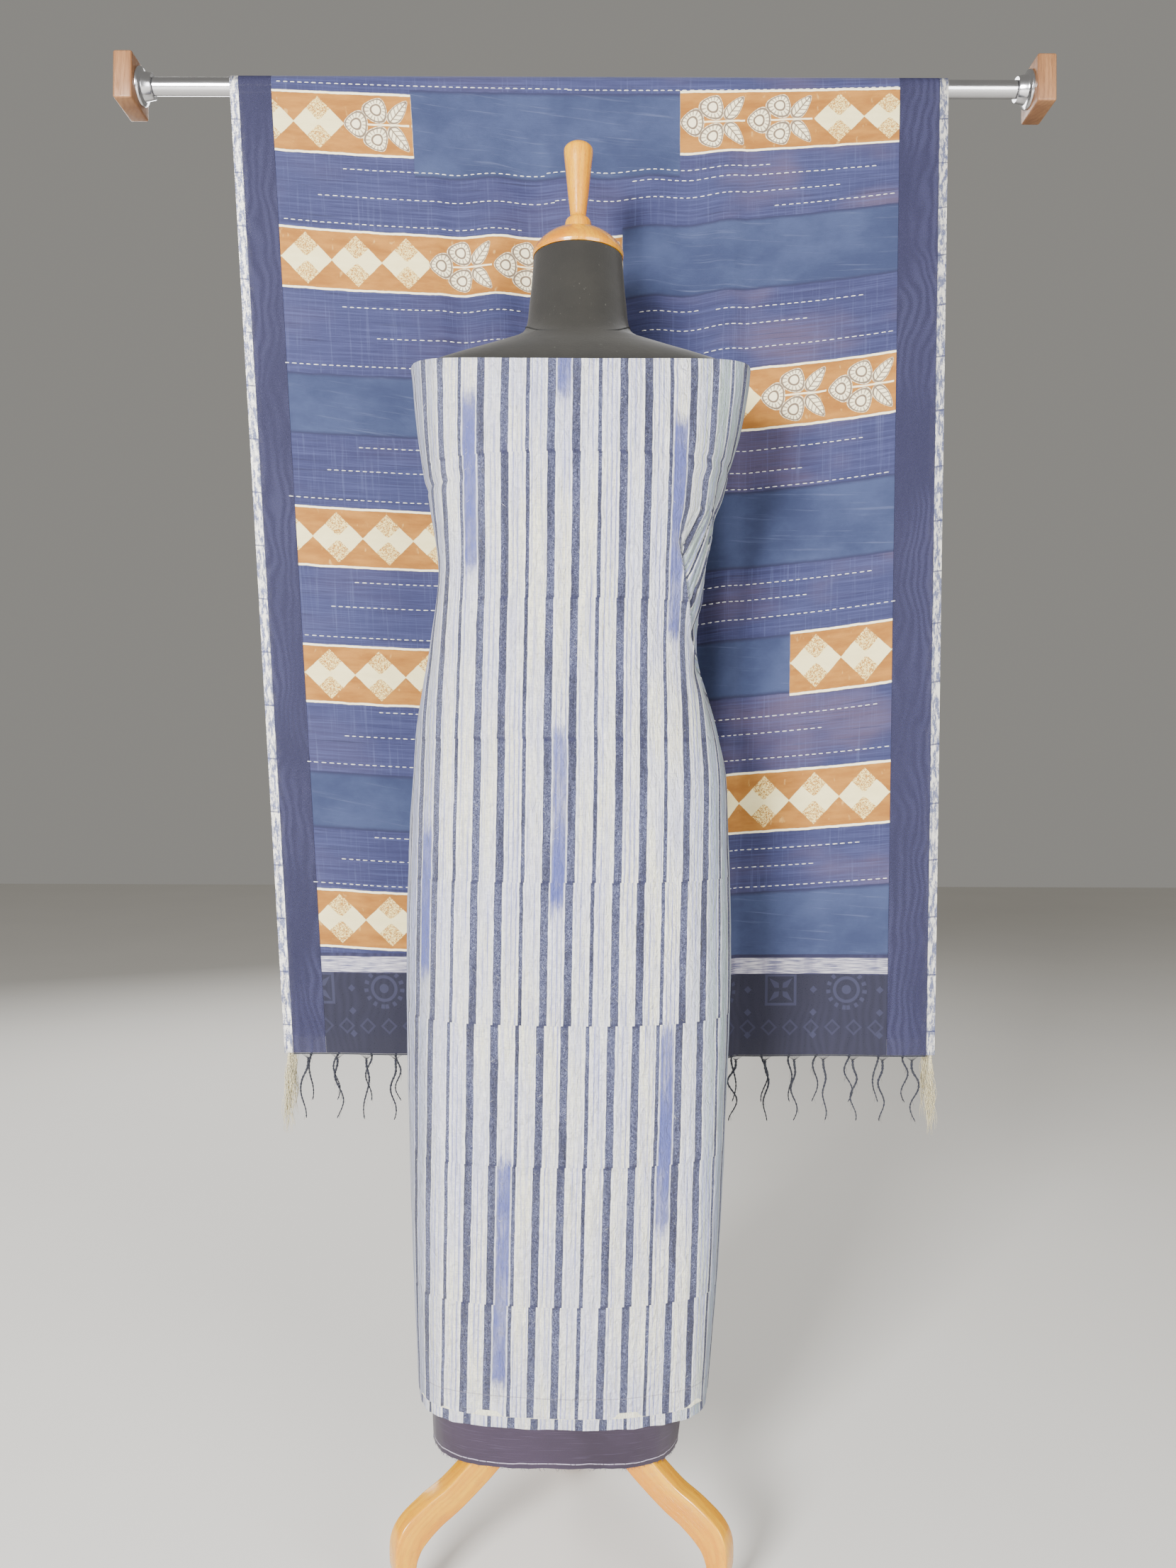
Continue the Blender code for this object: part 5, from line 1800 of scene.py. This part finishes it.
@dataclass
class Dupatta:
    """The dupatta: printed cloth with sheer borders and zari selvedges, hung over the rod by its middle."""

    rail: Rail
    width: float = 0.92
    radius: float = 0.0128
    quarter: float = 0.0128 * math.pi / 2
    hem_heights: tuple[float, float] = (0.54, 0.557)
    end_height: float = 0.668
    left_edge: tuple[float, float] = (-0.454, -0.379)
    right_edge: tuple[float, float] = (0.4645, 0.451)
    gather: tuple[float, float] = (0.255, 0.665)
    waves: int = 4
    fullness: float = 0.85
    settle_length: float = 0.12
    sway: float = 0.0022
    selvedge: float = 0.011
    left_border: float = 0.053
    right_border: float = 0.858
    weft: Sequence[tuple[float, float, float]] = (
        (0.03, 0.004, 0.01), (0.2, -0.03, 0.033), (0.38, -0.041, 0.029), (0.56, -0.035, 0.03),
        (0.72, -0.04, 0.029), (0.9, -0.017, 0.023), (1.06, -0.007, 0.019), (1.14, 0.0, 0.015),
        (1.27, 0.008, 0.006),
    )
    stitch_lines: Sequence[tuple[float, float, float]] = (
        (0.06, 0.432, 0.017), (0.432, 0.856, 0.018), (0.139, 0.402, 0.121), (0.402, 0.693, 0.118),
        (0.105, 0.412, 0.155), (0.412, 0.788, 0.153), (0.06, 0.374, 0.189), (0.514, 0.83, 0.131),
        (0.7, 0.856, 0.174), (0.128, 0.363, 0.298), (0.17, 0.352, 0.338), (0.051, 0.221, 0.375),
        (0.521, 0.6, 0.306), (0.624, 0.814, 0.31), (0.524, 0.747, 0.332), (0.609, 0.857, 0.365),
        (0.139, 0.56, 0.478), (0.097, 0.54, 0.508), (0.046, 0.52, 0.545), (0.56, 0.816, 0.494),
        (0.6, 0.743, 0.521), (0.58, 0.857, 0.541), (0.124, 0.56, 0.651), (0.092, 0.54, 0.683),
        (0.056, 0.52, 0.722), (0.56, 0.831, 0.666), (0.58, 0.748, 0.687), (0.56, 0.861, 0.711),
        (0.146, 0.56, 0.816), (0.1, 0.54, 0.848), (0.05, 0.52, 0.884), (0.56, 0.839, 0.83),
        (0.58, 0.772, 0.849), (0.56, 0.858, 0.879), (0.131, 0.56, 0.976), (0.087, 0.54, 1.006),
        (0.049, 0.52, 1.038), (0.56, 0.827, 0.99), (0.58, 0.767, 1.012), (0.56, 0.86, 1.037),
    )
    locks: int = 24
    lock_length: float = 0.084
    tassel_length: float = 0.104
    print_cloth: BlockPrint = BlockPrint(Slot.PRINT, roughness=0.84, sheen=0.12)
    sheer: SheerCotton = SheerCotton(Slot.SHEER, roughness=0.8, alpha=0.84)
    end_sheer: SheerCotton = SheerCotton(Slot.SHEER, roughness=0.8, alpha=0.92, zari_from=1.1365,
                                         zari_to=1.1565)
    zari: Zari = Zari(Slot.ZARI, roughness=0.42, metallic=0.55)
    fringe_thread: Thread = Thread(Slot.FRINGE, roughness=0.9, base=(34, 36, 52), fibre=(96, 98, 92))
    tassel_thread: Thread = Thread(Slot.TASSEL, roughness=0.6, base=(214, 202, 160), fibre=(250, 246, 228))
    stitch_thread: Thread = Thread(Slot.PRINT, roughness=0.85, base=(246, 245, 238), fibre=(254, 254, 252))

    def build(self) -> None:
        """Build the strips over the rod, then each fall's end, stitches, fringe and tassels."""
        over = {fall: [] for fall in Fall}
        ends = {fall: self.end_down(fall) for fall in Fall}
        hems = {fall: self.hem_down(fall) for fall in Fall}
        panel_columns = self.columns(self.left_border, self.right_border, 120)
        for fall in Fall:
            ending = self.strip(f"dupatta_end_cloth_{fall.name.lower()}", panel_columns,
                                self.end_rows(ends[fall], hems[fall], fall), self.end_map)
            settle(ending, self.end_sheer, [f"dupatta_end_{fall.name.lower()}"])
            fringe, tassels = self.build_fringe(fall), self.build_tassels(fall)
            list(tassels)
            over[fall].append(self.build_stitches(fall))
        panel = self.strip("dupatta_print_cloth", panel_columns, self.rows(ends, 0.0105), self.panel_map)
        settle(panel, self.print_cloth, ["dupatta_panel_front", "dupatta_panel_back"])
        for name, low, high, steps in (("selvedge_left", 0, self.selvedge, 3),
                                       ("border_left", self.selvedge, self.left_border, 8),
                                       ("border_right", self.right_border, self.width - self.selvedge, 9),
                                       ("selvedge_right", self.width - self.selvedge, self.width, 3)):
            columns = self.columns(low, high, steps)
            finish = self.sheer if "border" in name else self.zari
            piece = self.strip(f"dupatta_{name}_cloth", columns, self.rows(hems, 0.0105), self.panel_map)
            settle(piece, finish, [f"dupatta_{name}_front", f"dupatta_{name}_back"])

    def hem_down(self, fall: Fall) -> float:
        """Cloth from the rod's top to a fall's hem."""
        return self.quarter + self.rail.z - self.hem_heights[fall is Fall.BACK]

    def end_down(self, fall: Fall) -> float:
        """Cloth from the rod's top to the end of a fall's printed panel."""
        raised = self.hem_heights[fall is Fall.BACK] - self.hem_heights[0]
        return self.quarter + self.rail.z - self.end_height - raised

    @staticmethod
    def columns(low: float, high: float, count: int) -> list[float]:
        """Divide a strip, half a seam's gap in from its neighbours."""
        return spread(low + SEAM_GAP / 2, high - SEAM_GAP / 2, count)

    def rows(self, downs: dict[Fall, float], step: float) -> list[float]:
        """Divide the cloth from the front fall's end over the rod to the back fall's."""
        front = spread(-downs[Fall.FRONT], -self.quarter, round(downs[Fall.FRONT] / step))
        back = spread(self.quarter, downs[Fall.BACK], round(downs[Fall.BACK] / step))
        return front + spread(-self.quarter, self.quarter, 14)[1:-1] + back

    @staticmethod
    def end_rows(start: float, hem: float, fall: Fall) -> list[float]:
        """Divide a fall's end."""
        rows = [fall.value * down for down in spread(start + SEAM_GAP / 2, hem, 14)]
        return sorted(rows)

    def strip(self, name: str, columns: Sequence[float], runs: Sequence[float],
              mapping: Callable[[float, float], tuple[float, float]]) -> Object:
        """Shape one strip of the cloth from metres across it and along it, mapped by a function of both."""
        return Bench.cloth(name, columns, runs, self.face, lambda column,
                           row: mapping(columns[column], runs[row]))

    def panel_map(self, across: float, run: float) -> tuple[float, float]:
        """Metres across the cloth, and along it from the top weft line of the print."""
        if run < 0:
            return across, -run - self.lift(across, -run)
        return across, -(run + self.lift(across, 0) * (1 - smoothstep(run, 0, 0.3)))

    @staticmethod
    def end_map(across: float, run: float) -> tuple[float, float]:
        """Metres across the cloth and down it."""
        return across, abs(run)

    def lift(self, across: float, down: float) -> float:
        """How far a weft line sags below the level, at a place on the front fall."""
        tilt, sag = read_table(self.weft, min(max(down, self.weft[0][0]), self.weft[-1][0]))
        share = across / self.width
        return tilt * share + 4 * sag * share * (1 - share)

    def across_at(self, across: float, height: float) -> float:
        """Where a warp thread hangs sideways.

        Args:
            across: Metres across the cloth.
            height: Height above the floor.

        Returns:
            Its X.
        """
        share = (self.rail.z - height) / (self.rail.z - self.hem_heights[0])
        left = self.left_edge[0] + (self.left_edge[1] - self.left_edge[0]) * share
        right = self.right_edge[0] + (self.right_edge[1] - self.right_edge[0]) * share
        start, end = self.gather
        if across <= start:
            return left + across
        if across >= end:
            return right - (self.width - across)
        low, high = left + start, right - (self.width - end)
        return low + (high - low) * (across - start) / (end - start)

    def wave(self, across: float, height: float) -> float:
        """How far soft folds carry the cloth back or forward.

        Args:
            across: Metres across the cloth.
            height: Height above the floor.

        Returns:
            Metres back.
        """
        share = min(max((self.rail.z - height) / (self.rail.z - self.hem_heights[0]), 0), 1)
        sway = self.sway * share * math.sin(math.tau * 5 * across / self.width)
        start, end = self.gather
        sway += 0.0009 * noise.noise(Vector((across * 26, height * 3, 5)))
        sway += 0.0005 * noise.noise(Vector((across * 60, height * 30, 8)))
        if not start < across < end:
            return sway
        narrowing = share * (self.left_edge[1] - self.left_edge[0] + self.right_edge[0] - self.right_edge[1])
        zone = end - start
        slack = narrowing / (zone - narrowing)
        depth = zone / self.waves / math.pi * math.sqrt(slack) * self.fullness
        return sway + depth * math.sin(math.tau * self.waves * (across - start) / zone)

    def face(self, across: float, run: float) -> Vector:
        """Find a point of the cloth's outer face.

        Args:
            across: Metres across the cloth.
            run: Metres along it from the rod's top, less than 0 on the front fall.

        Returns:
            The point.
        """
        down, side = abs(run), math.copysign(1, run)
        if down < self.quarter:
            angle = down / self.radius
            y = self.rail.y + side * self.radius * math.sin(angle)
            z = self.rail.z + self.radius * math.cos(angle)
        else:
            y = self.rail.y + side * self.radius
            z = self.rail.z - (down - self.quarter)
        y += self.wave(across, z) * smoothstep(down, self.quarter, self.quarter + self.settle_length)
        return Vector((self.across_at(across, z), y, z))

    def build_stitches(self, fall: Fall) -> Object:
        """Build the running stitches of one fall.

        Args:
            fall: The fall.

        Returns:
            The piece.
        """
        chance = random.Random(19 + fall.value)
        proud = Vector((0, fall.value * 0.00025, 0))
        dashes = []
        for start, end, weft in self.stitch_lines:
            across = start
            while across < end - 0.004:
                length = chance.uniform(0.005, 0.0064)
                path = []
                for share, out in ((0, -1), (0.18, 1.3), (0.82, 1.3), (1, -1)):
                    here = across + length * share
                    down = weft
                    for _ in range(4):
                        faded = self.lift(here, 0) * (1 - smoothstep(down, 0, 0.3))
                        down = weft + self.lift(here, down) if fall is Fall.FRONT else max(weft - faded, 0.03)
                    path.append(self.face(here, fall.value * down) + proud * out)
                dashes.append(Bench.tube(path, (0.00034, 0.00062, 0.00062, 0.00034), 4))
                across += length + chance.uniform(0.003, 0.004)
        stitches = Bench.assembled(f"kantha_stitches_{fall.name.lower()}", dashes)
        return settle(stitches, self.stitch_thread)

    def build_fringe(self, fall: Fall) -> Object:
        """Build the hem's rolled edge and its twisted locks.

        Args:
            fall: The fall.

        Returns:
            The piece.
        """
        chance = random.Random(31 + fall.value)
        hem = self.hem_down(fall)
        side = fall.value
        threads = []
        edge = [self.face(across, side * (hem + 0.0012))
                for across in spread(self.selvedge, self.width - self.selvedge, 160)]
        edge = [point - Vector((0, side * 0.0006, 0)) for point in edge]
        threads.append(Bench.tube(edge, [0.0009] * len(edge), 6))
        pitch = (self.width - 2 * self.selvedge) / self.locks
        for lock in range(self.locks):
            across = self.selvedge + pitch * (lock + 0.5)
            seat = self.face(across, side * hem) - Vector((0, side * 0.0008, 0))
            knot = seat - Vector((0, 0, 0.008))
            for strand in range(9):
                start = self.face(across + pitch * (strand - 4) * 0.062, side * (hem + 0.0006))
                start.y -= side * 0.0006
                threads.append(Bench.tube([start, start.lerp(knot, 0.6), knot], (0.00022, 0.00026, 0.0003),
                                          3))
            threads += self.lock(knot, chance, self.lock_length - 0.008, 0.003 * math.sin(2.4 * lock + side))
        fringe = Bench.assembled(f"fringe_{fall.name.lower()}_locks", threads)
        return settle(fringe, self.fringe_thread, [f"fringe_{fall.name.lower()}"])

    @staticmethod
    def lock(top: Vector, chance: random.Random, length: float, lean: float) -> list[tuple[list, list]]:
        """Twist two plies into a lock that waves as it hangs and ends in loose fibres.

        Args:
            top: Where it starts.
            chance: Source of its small differences.
            length: Its length.
            lean: How far its foot is to the side.

        Returns:
            Its shapes.
        """
        sway, phase = chance.uniform(0.002, 0.006), chance.uniform(0, 6.3)
        bend, twist = chance.uniform(6, 11), chance.choice((-1, 1)) * 52
        steps = 26

        def middle(share: float) -> Vector:
            """The lock's middle line."""
            loose = smoothstep(share, 0, 0.35)
            x = lean * share + sway * loose * (math.sin(bend * share + phase) - math.sin(phase))
            return top + Vector((x, 0.3 * sway * loose * math.sin(bend * 1.3 * share), -length * share))

        shapes = []
        for ply in (0, math.pi):
            path, radii = [], []
            for step in range(steps + 1):
                share = step / steps
                radius = 0.0015 * (1 - 0.6 * share)
                angle = ply + twist * share
                path.append(middle(share) + Vector((math.cos(angle), math.sin(angle), 0)) * radius * 0.62)
                radii.append(radius * 0.8)
            shapes.append(Bench.tube(path, radii, 5))
        for _ in range(9):
            start = chance.uniform(0.25, 0.95)
            reach = Vector((chance.uniform(-0.004, 0.004), chance.uniform(-0.0015, 0.0015), -0.01))
            root = middle(start)
            path = [root, root + reach * 0.45 + Vector((reach.x * 0.2, 0, 0)),
                    root + reach * chance.uniform(0.7, 1)]
            path = [Vector((point.x, point.y, max(point.z, top.z - length - 0.004))) for point in path]
            shapes.append(Bench.tube(path, (0.00018, 0.00014, 0.00006), 3))
        return shapes

    def build_tassels(self, fall: Fall) -> list[Object]:
        """Build the tassels at a fall's two corners.

        Args:
            fall: The fall.

        Returns:
            The pieces.
        """
        tassels = []
        half = self.selvedge / 2
        for name, across, seed in (("left", half, 3), ("right", self.width - half, 5)):
            chance = random.Random(seed * 10 + fall.value)
            top = self.face(across, fall.value * self.hem_down(fall)) - Vector((0, fall.value * 0.0006, 0))
            shapes = []
            wrapped = [top + Vector((0.0017 * math.cos(angle), 0.0017 * math.sin(angle),
                                     -0.0035 - angle * 0.00032)) for angle in spread(0, 26, 78)]
            shapes.append(Bench.tube(wrapped, [0.0007] * len(wrapped), 4))
            for _ in range(46):
                turn, reach = chance.uniform(0, 6.3), chance.uniform(0.3, 1)
                curl, phase = chance.uniform(0.001, 0.0038), chance.uniform(0, 6.3)
                length = self.tassel_length * chance.uniform(0.62, 1)
                path = []
                for step in range(15):
                    share = step / 14
                    spreadout = 0.0012 + 0.0052 * reach * smoothstep(share, 0.05, 0.8)
                    wobble = curl * math.sin(9 * share + phase) * smoothstep(share, 0.1, 0.3)
                    path.append(top + Vector((
                        math.cos(turn) * spreadout + wobble, math.sin(turn) * spreadout * 0.6 + wobble * 0.4,
                        -length * share)))
                shapes.append(Bench.tube(path, [0.00034] * 12 + [0.00028, 0.0002, 0.0001], 3))
            piece = Bench.assembled(f"tassel_threads_{fall.name.lower()}_{name}", shapes)
            tassels.append(settle(piece, self.tassel_thread, [f"tassel_{fall.name.lower()}_{name}"]))
        return tassels


@dataclass
class Studio:
    """A pale floor, soft lights and the camera that matches the photograph's view."""

    lens: float = 27.02
    sensor: float = 36.0
    eye: tuple[float, float, float] = (0.007, -1.409, 0.919)
    rise: float = -0.0172
    roll: float = 0.2
    world: float = 0.36
    lights: Sequence[tuple[str, tuple[float, float, float], tuple[float, float, float], float, float]] = (
        ("key_light", (-1.4, -3.0, 1.6), (0.0, 0.0, 0.9), 0.9, 300.0),
        ("fill_light", (1.9, -2.7, 1.2), (0.0, 0.0, 0.9), 1.8, 100.0),
        ("back_light", (-1.2, 2.6, 2.4), (0.0, 0.0, 1.0), 2.0, 90.0),
    )

    def build(self) -> None:
        """Lay the floor, hang the lights and set the camera."""
        Bench.clear()
        bpy.ops.mesh.primitive_plane_add(size=14, location=(0, 0, 0))
        floor = Bench.named("studio_floor")
        floor.data.materials.append(PaleFloor(Slot.KAMEEZ, roughness=0.75).material)
        world = bpy.data.worlds.new("studio_world")
        world.use_nodes = True
        background = world.node_tree.nodes["Background"]
        background.inputs["Color"].default_value = paint(224, 221, 214)
        background.inputs["Strength"].default_value = self.world
        bpy.context.scene.world = world
        for name, place, target, size, energy in self.lights:
            bpy.ops.object.light_add(type="AREA", location=place)
            light = bpy.context.object
            light.name = name
            light.data.size = size
            light.data.energy = energy
            aim = Vector(target) - Vector(place)
            light.rotation_euler = aim.to_track_quat("-Z", "Y").to_euler()
        bpy.ops.object.camera_add(location=self.eye)
        camera = bpy.context.object
        camera.name = "main_camera"
        camera.data.lens = self.lens
        camera.data.sensor_fit = "VERTICAL"
        camera.data.sensor_height = self.sensor
        camera.data.shift_y = self.rise
        turn = Matrix.Rotation(math.pi / 2, 4, "X") @ Matrix.Rotation(math.radians(self.roll), 4, "Z")
        camera.rotation_euler = turn.to_euler()
        bpy.context.scene.camera = camera


def main() -> None:
    """Build every piece in the frame of the part, then the studio."""
    logging.basicConfig(level=logging.INFO, format="%(name)s: %(message)s")
    form, rail = DressForm(), Rail()
    form.build()
    Kameez(form).build()
    Salwar(form).build()
    rail.build()
    Dupatta(rail).build()
    Studio().build()


if __name__ == "__main__":
    main()
